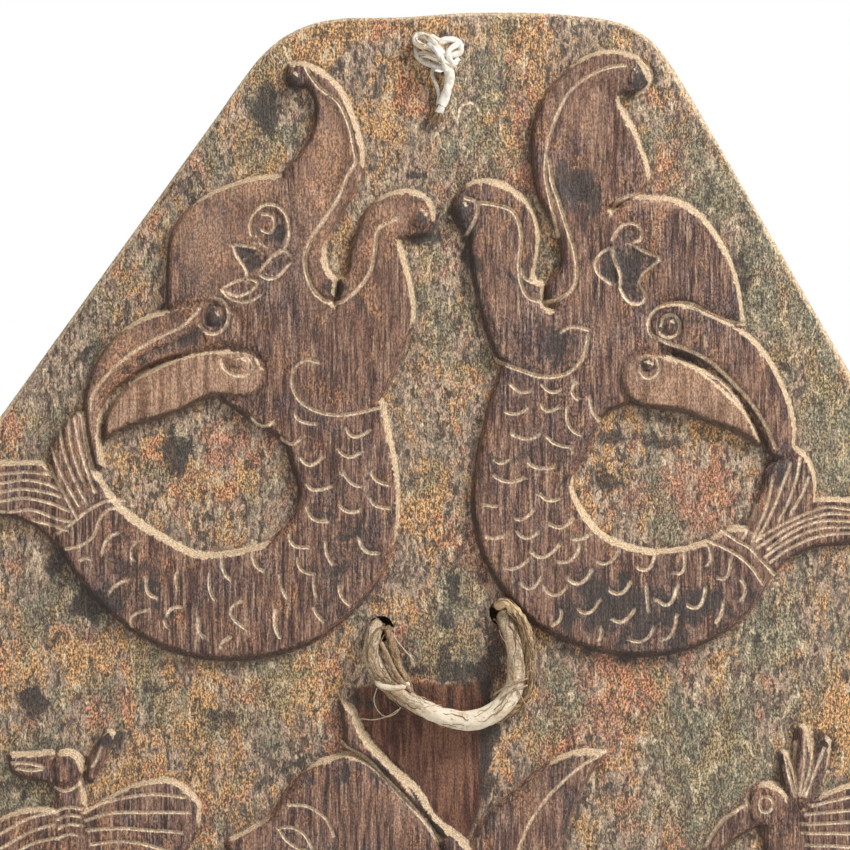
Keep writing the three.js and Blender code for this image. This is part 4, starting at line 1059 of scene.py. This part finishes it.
def cord_piece(name, tubes, material):
    """One object from several tubes."""
    vertices, faces, tints, start = [], [], [], 0
    for tube_vertices, tube_faces, tube_tints in tubes:
        vertices.append(tube_vertices)
        tints.append(tube_tints)
        faces += [tuple(start + i for i in face) for face in tube_faces]
        start += len(tube_vertices)
    mesh = bpy.data.meshes.new(name)
    mesh.from_pydata([tuple(v) for v in np.vstack(vertices)], [], faces)
    mesh.polygons.foreach_set("use_smooth", [True] * len(faces))
    mesh.materials.append(material)
    layer = mesh.attributes.new("tint", "FLOAT", "POINT")
    layer.data.foreach_set("value", np.concatenate(tints))
    piece = bpy.data.objects.new(name, mesh)
    bpy.context.scene.collection.objects.link(piece)
    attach(piece, "root")
    return piece


def loose_fibres(path, radius, count, length, spread, low=0.0, high=1.0, thickness=0.00013, tint=0.4):
    """Thin fibres that leave the cord's surface and wander a little away from it."""
    first, second = frames_along(path)
    step = np.linalg.norm(path[1] - path[0])
    tubes = []
    for _ in range(count):
        steps = max(6, int(length * random.uniform(0.5, 1.2) / step / 2) * 2)
        begin = int(random.uniform(low, high) * (len(path) - 1))
        onward = 1 if random.random() < 0.5 else -1
        angle = random.uniform(0, 2 * math.pi)
        turning = random.normal(0, 0.05)
        leaving = random.uniform(0.2, 1.0) * spread
        knots = []
        for k in range(0, steps, 2):
            i = min(max(begin + onward * k, 0), len(path) - 1)
            grown = radius * (0.92 + leaving * (k / steps) ** 1.6)
            spot = path[i] + grown * (math.cos(angle) * first[i] + math.sin(angle) * second[i])
            angle += turning + random.normal(0, 0.12)
            knots.append(spot + random.normal(0, 0.10 * MM, 3))
        knots = np.array(knots)
        knots[:, 1] = np.minimum(knots[:, 1], -THICKNESS - 0.2 * MM)
        line = evenly(catmull_rom(knots, 3), 0.0009)
        if len(line) < 4:
            continue
        shade = min(max(random.normal(tint, 0.2), 0), 1)
        tubes.append(tube(line, thickness * random.uniform(0.7, 1.5), sides=4, tint=lambda t, v=shade: v))
    return tubes


def drawn_path(knots, step=0.0005):
    """A path through (x, y, depth in mm) places of the drawing."""
    return evenly(catmull_rom(np.array([place(x, y, depth * MM) for x, y, depth in knots]), 24), step)


def path_through(points, step=0.0006):
    return evenly(catmull_rom(np.asarray(points) * MM, 24), step)


# Materials

class Nodes:
    """A short way to write a node tree."""

    def __init__(self, name):
        self.material = bpy.data.materials.new(name)
        self.material.use_nodes = True
        self.tree = self.material.node_tree
        self.tree.nodes.clear()
        self.output = self.tree.nodes.new("ShaderNodeOutputMaterial")
        self.shader = self.tree.nodes.new("ShaderNodeBsdfPrincipled")
        self.tree.links.new(self.shader.outputs[0], self.output.inputs["Surface"])
        self.object_place = self.tree.nodes.new("ShaderNodeTexCoord").outputs["Object"]

    def set(self, socket, value):
        if hasattr(value, "is_linked") or hasattr(value, "links"):
            self.tree.links.new(value, socket)
        else:
            socket.default_value = value

    def attribute(self, name):
        node = self.tree.nodes.new("ShaderNodeAttribute")
        node.attribute_name = name
        parts = self.tree.nodes.new("ShaderNodeSeparateColor")
        self.tree.links.new(node.outputs["Color"], parts.inputs[0])
        return parts.outputs[0], parts.outputs[1], parts.outputs[2]

    def stretched(self, scale):
        node = self.tree.nodes.new("ShaderNodeMapping")
        node.inputs["Scale"].default_value = scale
        self.tree.links.new(self.object_place, node.inputs["Vector"])
        return node.outputs[0]

    def noise(self, scale, detail=4.0, roughness=0.6, stretch=(1, 1, 1), distortion=0.0, offset=0.0):
        node = self.tree.nodes.new("ShaderNodeTexNoise")
        node.inputs["Scale"].default_value = scale
        node.inputs["Detail"].default_value = detail
        node.inputs["Roughness"].default_value = roughness
        node.inputs["Distortion"].default_value = distortion
        mapping = self.tree.nodes.new("ShaderNodeMapping")
        mapping.inputs["Scale"].default_value = stretch
        mapping.inputs["Location"].default_value = (offset, offset * 0.7, -offset)
        self.tree.links.new(self.object_place, mapping.inputs["Vector"])
        self.tree.links.new(mapping.outputs[0], node.inputs["Vector"])
        return node.outputs["Fac"]

    def ramp(self, value, low, high, bottom=0.0, top=1.0):
        node = self.tree.nodes.new("ShaderNodeMapRange")
        node.interpolation_type = "SMOOTHSTEP"
        self.set(node.inputs["Value"], value)
        for key, number in (("From Min", low), ("From Max", high), ("To Min", bottom), ("To Max", top)):
            node.inputs[key].default_value = number
        return node.outputs[0]

    def math(self, operation, a, b=0.0, clamp=False):
        node = self.tree.nodes.new("ShaderNodeMath")
        node.operation = operation
        node.use_clamp = clamp
        self.set(node.inputs[0], a)
        self.set(node.inputs[1], b)
        return node.outputs[0]

    def mix(self, amount, a, b, blend="MIX"):
        node = self.tree.nodes.new("ShaderNodeMix")
        node.data_type = "RGBA"
        node.blend_type = blend
        self.set(node.inputs["Factor"], amount)
        for key, colour in ((6, a), (7, b)):
            if isinstance(colour, tuple):
                node.inputs[key].default_value = (*colour, 1)
            else:
                self.tree.links.new(colour, node.inputs[key])
        return node.outputs[2]

    def bump(self, height, strength, distance):
        node = self.tree.nodes.new("ShaderNodeBump")
        node.inputs["Strength"].default_value = strength
        node.inputs["Distance"].default_value = distance
        self.tree.links.new(height, node.inputs["Height"])
        self.tree.links.new(node.outputs[0], self.shader.inputs["Normal"])


def carved_wood():
    n = Nodes("painted_carved_wood")
    figure, line, edge = n.attribute("tones_a")
    crease_shade, tusk, hollow = n.attribute("tones_b")
    green, red, ochre = n.attribute("tones_c")
    dark, pale, smooth = n.attribute("tones_d")
    thin_grain = n.noise(1050, 2, 0.6, (1, 1, 0.07), 0.25)
    grain = n.noise(430, 3, 0.65, (1, 1, 0.10), 0.5, 3)
    crumbs = n.noise(620, 3, 0.7, (1, 1, 0.5), 0.4, 13)
    fine = n.noise(1500, 2, 0.6, (1, 1, 0.6), 0.0, 17)

    lumps = n.noise(160, 4, 0.7, (1, 1, 0.6), 0.6, 61)

    def paint(base, size, seed, low, high, amount, bias, share, tone):
        """Broken paint in patches, more of it where the bias is high."""
        cloud = n.noise(size, 6, 0.70, (1, 1, 0.65), 0.9, seed)
        cloud = n.math("ADD", cloud, n.math("MULTIPLY", lumps, 0.45))
        cloud = n.math("ADD", cloud, n.math("MULTIPLY", bias, share))
        mask = n.math("MULTIPLY", n.ramp(cloud, low + 0.225, high + 0.225, 0, amount),
                      n.ramp(crumbs, 0.38, 0.50, 0.1, 1))
        deep, light = (tuple(share * c for c in tone) for share in (0.42, 1.38))
        return n.mix(mask, base, n.mix(n.ramp(fine, 0.38, 0.62), deep, light))

    # Ground: worn greyish brown wood under broken layers of ochre, red and green paint
    ground = n.mix(n.ramp(crumbs, 0.41, 0.59), (0.10, 0.07, 0.052), (0.55, 0.39, 0.27))
    ground = n.mix(n.ramp(grain, 0.44, 0.62, 0, 0.5), ground, (0.30, 0.225, 0.165))
    ground = paint(ground, 60, 5, 0.49, 0.62, 0.75, ochre, 0.20, (0.62, 0.33, 0.12))
    ground = paint(ground, 48, 33, 0.52, 0.64, 0.65, red, 0.20, (0.50, 0.20, 0.115))
    ground = paint(ground, 36, 21, 0.51, 0.64, 0.65, green, 0.20, (0.19, 0.20, 0.125))
    flecks = n.noise(330, 4, 0.7, (1, 1, 0.42), 0.6, 27)
    ground = n.mix(n.ramp(flecks, 0.56, 0.66, 0, 0.8), ground, (0.74, 0.58, 0.38))
    ground = n.mix(n.ramp(flecks, 0.44, 0.34, 0, 0.7), ground, (0.075, 0.058, 0.048))

    # Figures: dark reddish brown, purplish in places, paler where it is worn and where highlights are painted on
    body = n.mix(n.ramp(grain, 0.38, 0.62), (0.105, 0.055, 0.043), (0.30, 0.165, 0.11))
    body = n.mix(n.math("MULTIPLY", smooth, 0.7, True), body, (0.235, 0.125, 0.08))
    body = paint(body, 55, 41, 0.50, 0.63, 0.65, pale, 0.15, (0.40, 0.19, 0.09))
    body = paint(body, 42, 43, 0.50, 0.63, 0.6, dark, 0.12, (0.12, 0.09, 0.09))
    rough = n.ramp(smooth, 0.0, 1.0, 1.0, 0.35)
    body = n.mix(n.math("MULTIPLY", n.ramp(thin_grain, 0.55, 0.68, 0, 0.6), rough), body, (0.54, 0.37, 0.25))
    body = n.mix(n.math("MULTIPLY", n.ramp(thin_grain, 0.46, 0.34, 0, 0.8), rough), body, (0.035, 0.024, 0.022))
    # Paler where worn, and a painted highlight where the pale places lie.
    body = n.mix(n.math("MULTIPLY", pale, 0.45, True), body, (0.52, 0.32, 0.21))
    tusk_tone = n.mix(n.ramp(grain, 0.38, 0.62), (0.26, 0.14, 0.08), (0.56, 0.35, 0.23))
    body = n.mix(n.math("MULTIPLY", tusk, 0.75), body, tusk_tone)

    hollow_tone = n.mix(n.ramp(grain, 0.38, 0.62), (0.085, 0.035, 0.024), (0.24, 0.115, 0.07))
    colour = n.mix(hollow, ground, hollow_tone)
    colour = n.mix(figure, colour, body)
    # Near black blotches: real stains, and painted shade and shadow where the dark places lie.
    blotch = n.noise(90, 6, 0.7, (1, 1, 0.75), 0.8, 51)
    blotch = n.math("ADD", blotch, n.math("MULTIPLY", dark, 0.24))
    colour = n.mix(n.ramp(blotch, 0.58, 0.70, 0, 0.85), colour, (0.055, 0.045, 0.04))
    # Pale tan on the worn rim of the plank, and a painted highlight on slopes that face the light.
    chips = n.noise(420, 4, 0.72, (1, 1, 0.8), 0.3, 55)
    wear_and_highlight_mask = n.ramp(n.math("ADD", n.math("MULTIPLY", chips, 1.6), edge), 0.95, 1.45)
    wear_and_highlight_mask = n.math("MULTIPLY", wear_and_highlight_mask, n.ramp(edge, 0.02, 0.3))
    colour = n.mix(n.math("MULTIPLY", wear_and_highlight_mask, 0.9), colour, (0.70, 0.52, 0.33))
    # Painted shade: near black in the creases at the feet of forms and on slopes turned away from the light.
    colour = n.mix(n.math("MULTIPLY", crease_shade, 0.85), colour, (0.05, 0.035, 0.03))
    cream = n.mix(n.ramp(crumbs, 0.35, 0.6), (0.66, 0.45, 0.27), (0.95, 0.76, 0.55))
    colour = n.mix(line, colour, cream)
    shaded = n.tree.nodes.new("ShaderNodeVectorMath")
    shaded.operation = "SCALE"
    n.tree.links.new(colour, shaded.inputs[0])
    n.tree.links.new(n.ramp(fine, 0.36, 0.64, 0.62, 1.32), shaded.inputs["Scale"])
    n.tree.links.new(shaded.outputs[0], n.shader.inputs["Base Color"])

    n.tree.links.new(n.ramp(crumbs, 0.35, 0.65, 0.46, 0.78), n.shader.inputs["Roughness"])
    n.shader.inputs["Specular IOR Level"].default_value = 0.38
    relief = n.math("ADD", n.math("MULTIPLY", thin_grain, 0.5), n.math("MULTIPLY", grain, 0.6))
    relief = n.math("ADD", relief, n.math("MULTIPLY", crumbs, n.math("SUBTRACT", 1.0, n.math("MULTIPLY", figure, 0.6))))
    relief = n.math("ADD", relief, n.math("MULTIPLY", fine, 0.35))
    n.bump(relief, 0.9, 0.0009)
    return n.material


def bare_wood():
    n = Nodes("old_bare_wood")
    grain = n.noise(700, 3, 0.65, (1, 1, 0.06), 0.3)
    streaks = n.noise(160, 5, 0.6, (1, 1, 0.08), 0.8, 2)
    patch = n.noise(40, 5, 0.6, (1, 1, 0.6), 0.4, 6)
    colour = n.mix(n.ramp(streaks, 0.3, 0.7), (0.13, 0.085, 0.06), (0.34, 0.24, 0.17))
    colour = n.mix(n.ramp(patch, 0.5, 0.7, 0, 0.6), colour, (0.20, 0.15, 0.115))
    colour = n.mix(n.ramp(grain, 0.62, 0.75, 0, 0.5), colour, (0.07, 0.045, 0.035))
    n.tree.links.new(colour, n.shader.inputs["Base Color"])
    n.tree.links.new(n.ramp(patch, 0.3, 0.7, 0.62, 0.85), n.shader.inputs["Roughness"])
    n.shader.inputs["Specular IOR Level"].default_value = 0.3
    n.bump(n.math("ADD", n.math("MULTIPLY", grain, 0.5), streaks), 0.5, 0.0008)
    return n.material


def fibre(name, pale, dark, blotch, scale=700.0):
    """Old fibre: the tint goes from the dark colour, where the fibre is soiled and where the grooves between its plies
    get painted shade, to the pale one.
    """
    n = Nodes(name)
    tint = n.tree.nodes.new("ShaderNodeAttribute")
    tint.attribute_name = "tint"
    fine = n.noise(scale * 2.2, 3, 0.7)
    patch = n.noise(scale * 0.35, 4, 0.65, offset=4)
    amount = n.math("ADD", tint.outputs["Fac"], n.math("MULTIPLY", n.math("SUBTRACT", fine, 0.5), 1.3))
    colour = n.mix(n.ramp(amount, 0.1, 0.9), dark, pale)
    colour = n.mix(n.ramp(patch, 0.50, 0.66, 0, 0.6), colour, blotch)
    n.tree.links.new(colour, n.shader.inputs["Base Color"])
    n.tree.links.new(n.ramp(fine, 0.3, 0.7, 0.74, 0.95), n.shader.inputs["Roughness"])
    n.shader.inputs["Specular IOR Level"].default_value = 0.2
    n.shader.inputs["Sheen Weight"].default_value = 0.12
    n.bump(n.math("ADD", fine, patch), 0.7, 0.0004)
    return n.material


# Camera, floor and lights

VIEW_WIDTH = VIEW_SQUARES * SQUARE
CAMERA_DISTANCE = 1.5
SENSOR = 36.0
view_x, _, view_z = place(VIEW_X, VIEW_Y)
front = THICKNESS + 0.003

camera_data = bpy.data.cameras.new("camera")
camera_data.sensor_width = SENSOR
camera_data.lens = SENSOR * CAMERA_DISTANCE / VIEW_WIDTH
camera_data.clip_start, camera_data.clip_end = 0.05, 50
camera = bpy.data.objects.new("camera", camera_data)
camera.location = (view_x, -front - CAMERA_DISTANCE, view_z)
camera.rotation_euler = (math.pi / 2, 0, 0)
bpy.context.scene.collection.objects.link(camera)
bpy.context.scene.camera = camera


def softbox(name, location, size, power):
    data = bpy.data.lights.new(name, "AREA")
    data.shape = "SQUARE"
    data.size = size
    data.energy = power
    light = bpy.data.objects.new(name, data)
    light.location = location
    light.rotation_euler = (Vector((0, 0, 0.1)) - Vector(location)).to_track_quat("-Z", "Y").to_euler()
    bpy.context.scene.collection.objects.link(light)


softbox("key", (1.15, -0.95, 1.40), 0.6, 40)
softbox("fill", (-1.3, -1.8, 0.5), 1.4, 5)
softbox("back_fill", (0.6, 2.0, 1.0), 1.5, 18)

world = bpy.data.worlds.new("studio")
world.use_nodes = True
tree = world.node_tree
background = tree.nodes["Background"]
seen = tree.nodes.new("ShaderNodeLightPath")
strength = tree.nodes.new("ShaderNodeMapRange")
strength.inputs["To Min"].default_value = 0.32
strength.inputs["To Max"].default_value = 1.0
tree.links.new(seen.outputs["Is Camera Ray"], strength.inputs["Value"])
tree.links.new(strength.outputs[0], background.inputs["Strength"])
background.inputs["Color"].default_value = (1, 1, 1, 1)
bpy.context.scene.world = world
bpy.context.scene.view_settings.view_transform = "Standard"

floor_mesh = bpy.data.meshes.new("floor")
FLOOR_HALF, FLOOR_HEIGHT = 6.0, -0.300
floor_mesh.from_pydata([(-FLOOR_HALF, -FLOOR_HALF, FLOOR_HEIGHT), (FLOOR_HALF, -FLOOR_HALF, FLOOR_HEIGHT),
                        (FLOOR_HALF, FLOOR_HALF, FLOOR_HEIGHT), (-FLOOR_HALF, FLOOR_HALF, FLOOR_HEIGHT)],
                       [], [(0, 1, 2, 3)])
floor = bpy.data.objects.new("floor", floor_mesh)
bpy.context.scene.collection.objects.link(floor)
pale = Nodes("pale_floor")
pale.shader.inputs["Base Color"].default_value = (0.85, 0.85, 0.84, 1)
pale.shader.inputs["Roughness"].default_value = 0.9
floor_mesh.materials.append(pale.material)

# Cords, along the same routes as the solids

cotton = fibre("cotton", (0.93, 0.88, 0.78), (0.42, 0.33, 0.22), (0.62, 0.50, 0.34), 900)
smooth_cord = fibre("worn_cord", (0.86, 0.74, 0.57), (0.30, 0.19, 0.10), (0.50, 0.33, 0.18), 600)
brown_fibre = fibre("frayed_fibre", (0.72, 0.52, 0.30), (0.15, 0.085, 0.045), (0.34, 0.20, 0.10), 900)

SLING_HOLE_DIAMETER = 10.4
CORD_GAP = 0.3
CORD_END = -8.0
STRAND_SIDES = {"left": np.array([0.954, -0.3]), "right": np.array([-0.45, 0.893])}
THICK_OFFSET = (SLING_HOLE_DIAMETER - SLING_DIAMETER / MM) / 2 - CORD_GAP
CORDS_APART = (SLING_DIAMETER + STRAND_DIAMETER) / MM / 2 + CORD_GAP


def in_hole(side, offset, y):
    hx, hz, _ = SLING_HOLES[side]
    x, z = np.array([hx, hz]) / MM + STRAND_SIDES[side] * offset
    return [x, y, z]


def thick_in(side, y):
    return in_hole(side, -THICK_OFFSET, y)


def strand_in(side, y):
    return in_hole(side, CORDS_APART - THICK_OFFSET, y)


SLING_ROUTE = [
    thick_in("left", CORD_END), thick_in("left", -14), thick_in("left", -21),
    [-28.6, -25.6, 39], [-29.6, -27.8, 32.6], [-27.4, -28.2, 25.6], [-21.8, -28.4, 18.6],
    [-14, -28.6, 12.9], [-5, -28.8, 8.4], [4, -28.9, 5.4], [12, -28.9, 5.3], [18.8, -28.8, 8],
    [24.8, -28.6, 13], [28, -28.4, 20], [28.4, -28.2, 28], [27.2, -27.6, 36], [25.2, -25.4, 42],
    thick_in("right", -21), thick_in("right", -14), thick_in("right", CORD_END),
]
STRAND_ROUTE = [
    strand_in("right", CORD_END), strand_in("right", -14), strand_in("right", -21.4),
    [24, -26, 51.8], [29, -27.2, 47.4], [32.4, -27.8, 41], [33.8, -28, 33.4], [33.8, -28, 25.6],
    [33, -27, 18], [29, -24.2, 10.6], [21, -23, 5.6], [12, -22.9, 3.6], [3, -22.9, 4], [-6, -23, 7.4],
    [-12.4, -23.6, 13.4], [-15.6, -25.4, 20.4], [-19.2, -26.2, 27.6], [-21, -25.6, 34.6],
    strand_in("left", -22), strand_in("left", -14), strand_in("left", CORD_END),
]
HANGING_APART = HANGING_DIAMETER / MM + 2 * CORD_GAP
HANGING_LOOP_HEIGHT = 11.6


def hanging_route():
    x, z = HANGING_HOLE[0] / MM, HANGING_HOLE[1] / MM
    half = HANGING_APART / 2

    def run(sign):
        return [[x + sign * half, -20, z], [x + sign * half, -14, z], [x + sign * half, -7.4, z],
                [x + sign * (half + 0.8), -3.6, z + 2.4], [x + sign * 4.7, -2.8, z + 5.6],
                [x + sign * 4, -2.7, z + 9.4]]

    return run(-1) + [[x, -2.7, z + HANGING_LOOP_HEIGHT]] + run(1)[::-1]


def between(share, knots):
    """A value that follows (share, value) knots along a cord."""
    return float(np.interp(share, [k for k, _ in knots], [v for _, v in knots]))


SLING_TINT = [(0, 0.35), (0.34, 0.42), (0.40, 0.85), (0.66, 0.92), (0.72, 0.5), (1, 0.45)]
SLING_WIDTH = [(0, 1), (0.16, 1.0), (0.2, 1.08), (0.40, 1.12), (0.55, 1.28), (0.70, 1.22), (0.80, 1.05), (1, 0.9)]
sling_path = path_through(SLING_ROUTE)
strand_path = path_through(STRAND_ROUTE)
hanging_path = path_through(hanging_route())
sling = cord_piece("sling_band", [tube(
    sling_path, SLING_DIAMETER / 2, sides=44, plies=2, twist=0.05, ply_depth=0.10, threads=15,
    thread_depth=0.05, rough=0.10, wide=1.06, deep=0.9, taper=lambda t: between(t, SLING_WIDTH),
    tint=lambda t: between(t, SLING_TINT), seed=1)], smooth_cord)
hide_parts("sling_cord")
strand = cord_piece("sling_frayed_strand", [tube(
    strand_path, STRAND_DIAMETER / 2, sides=28, plies=3, twist=0.30, ply_depth=0.34, threads=13,
    thread_depth=0.10, rough=0.26, taper=lambda t: 1.1 + 0.12 * math.sin(70 * t) * math.sin(23 * t),
    tint=lambda t: between(t, [(0, 1.0), (0.19, 1.0), (0.25, 0.5), (1, 0.35)]), seed=2)], brown_fibre)
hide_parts("sling_strand")
hanging = cord_piece("hanging_loop_cord", [tube(
    hanging_path, HANGING_DIAMETER / 2, sides=24, plies=3, twist=0.3, ply_depth=0.22, threads=12,
    thread_depth=0.07, rough=0.06, tint=lambda t: 0.7, seed=3)], cotton)
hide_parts("hanging_cord")

# Worn folds of the sling, and its loose threads
FOLDS = [
    ([(374, 626, 24), (369, 641, 27), (370, 656, 29), (377, 670, 29.5), (388, 682, 29.5), (402, 688, 30)], 1.5, 0.5),
    ([(377, 676, 27), (379, 683, 30.5), (388, 686, 31.2), (399, 686, 31.2), (409, 683, 29.5)], 1.1, 0.85),
    ([(381, 642, 28), (388, 655, 30), (394, 668, 30.6), (402, 680, 30.8), (412, 690, 30)], 0.9, 0.25),
    ([(389, 628, 22), (396, 640, 22), (404, 650, 21.6), (413, 660, 21.2)], 0.35, 0.5),
    ([(377, 688, 24), (374, 700, 22.4), (378, 711, 21.6), (386, 717, 21.4), (395, 714, 21.8), (401, 707, 24)], 0.24, 0.6),
    ([(361, 719, 21.2), (374, 720, 21.4), (388, 716, 22.4), (399, 709, 24)], 0.22, 0.6),
    ([(493, 694, 29), (504, 686, 32), (516, 681, 32), (528, 677, 30)], 0.4, 0.25),
    ([(497, 701, 30), (508, 691, 32.2), (519, 687, 31.6), (527, 684, 30)], 0.35, 0.35),
    ([(512, 677, 31), (517, 688, 32), (522, 698, 30), (527, 706, 27)], 0.3, 0.3),
]
fold_tubes = [tube(drawn_path(knots), radius * MM, sides=16 if radius > 0.5 else 8, threads=7 if radius > 0.5 else 0,
                   thread_depth=0.12, rough=0.14, tint=lambda t, v=tint: v, seed=60 + number)
              for number, (knots, radius, tint) in enumerate(FOLDS)]
folds = cord_piece("sling_folds", fold_tubes, smooth_cord)
band_fibres = cord_piece("sling_fibres", (
    loose_fibres(sling_path, 0.0031, 90, 0.020, 0.55, 0.14, 0.42)
    + loose_fibres(sling_path, 0.0033, 26, 0.014, 0.35, 0.42, 0.72, tint=0.7)
    + loose_fibres(sling_path, 0.0031, 60, 0.018, 0.6, 0.68, 0.88)), brown_fibre)
strand_fibres = cord_piece("strand_fibres",
                           loose_fibres(strand_path, 0.0018, 130, 0.014, 0.9, 0.13, 0.42), brown_fibre)

# The bunched knot of the hanging cord: (x, y, depth) places, thickness in mm, tint
KNOT_STRANDS = [
    ([(450, 62, 22), (442, 56, 25), (431, 49, 26.5), (420, 46, 26), (415, 41, 25), (417, 36, 24), (424, 36, 25),
      (431, 41, 27), (438, 48, 28.5), (444, 57, 28), (448, 64, 25)], 1.35, 0.95),
    ([(422, 37, 23), (431, 38, 25.5), (440, 43, 27.5), (447, 41, 27.5), (454, 41, 26.5), (460, 46, 25),
      (460, 52, 24), (453, 55, 24.5), (445, 52, 26)], 1.45, 0.98),
    ([(458, 45, 26), (452, 49, 28.5), (448, 55, 29.5), (450, 61, 28), (454, 64, 25), (458, 59, 23.5)], 1.2, 0.9),
    ([(416, 55, 22.5), (425, 55, 25.5), (434, 58, 27.5), (443, 62, 28.5), (451, 65, 26), (454, 69, 23.5)], 1.35, 0.85),
    ([(416, 49, 22.5), (418, 57, 24), (425, 63, 25), (436, 67, 26.5), (445, 69, 26), (452, 71, 24)], 1.2, 0.6),
    ([(429, 44, 27), (436, 52, 29.5), (441, 59, 30), (444, 66, 28.5), (447, 73, 26)], 1.15, 1.0),
    ([(434, 66, 23), (432, 74, 23.2), (436, 84, 23.2), (439, 94, 23), (438, 104, 22.6)], 0.8, 0.55),
    ([(447, 67, 25), (450, 77, 25.6), (448, 88, 25), (444, 100, 24), (439, 113, 23.4)], 2.05, 0.9),
]
TAIL_END = [(442, 106, 23.6), (438, 114, 23.2), (434, 122, 22.6)]
knot_tubes = [tube(drawn_path(knots), radius * MM, sides=26, plies=2 if radius > 1.1 else 0, twist=0.22,
                   ply_depth=0.22, threads=9, thread_depth=0.12, rough=0.14,
                   tint=lambda t, v=tint: v, seed=80 + number)
              for number, (knots, radius, tint) in enumerate(KNOT_STRANDS)]
knot = cord_piece("bunched_knot", knot_tubes, cotton)
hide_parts("hanging_knot")
tail_path = drawn_path(TAIL_END, 0.0004)
tail_fray = cord_piece("knot_fray", (
    loose_fibres(tail_path, 0.0019, 90, 0.010, 0.35, 0, 0.6, tint=0.35)
    + loose_fibres(drawn_path(KNOT_STRANDS[0][0]), 0.0015, 30, 0.010, 0.8, tint=0.9)
    + loose_fibres(drawn_path(KNOT_STRANDS[3][0]), 0.0015, 30, 0.010, 0.8, tint=0.8)), brown_fibre)


def stopper(name, node, hole):
    """A small overhand knot in its pocket behind the panel."""
    hx, hz, _ = hole
    t = np.linspace(0, 2 * math.pi, 90)
    wide = 1.6 + 0.62 * np.cos(3 * t)
    path = np.column_stack([hx + 0.0019 * wide * np.cos(2 * t), -0.0042 + 0.0017 * np.sin(3 * t),
                            hz + 0.0019 * wide * np.sin(2 * t)])
    piece = cord_piece(name, [tube(path, 0.0019, sides=22, plies=2, twist=0.25, ply_depth=0.15, threads=11,
                                   thread_depth=0.07, tint=lambda t: 0.45, seed=90)], smooth_cord)
    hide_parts(node)


stopper("stopper_knot_left", "sling_knot_left", SLING_HOLES["left"])
stopper("stopper_knot_right", "sling_knot_right", SLING_HOLES["right"])

# The panel

relief = carved_panel([carved_wood(), bare_wood()])
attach(relief, "root")
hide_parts("carved_panel")
print("relief triangles", sum(len(f.vertices) - 2 for f in relief.data.polygons), "scales", len(SCALES))
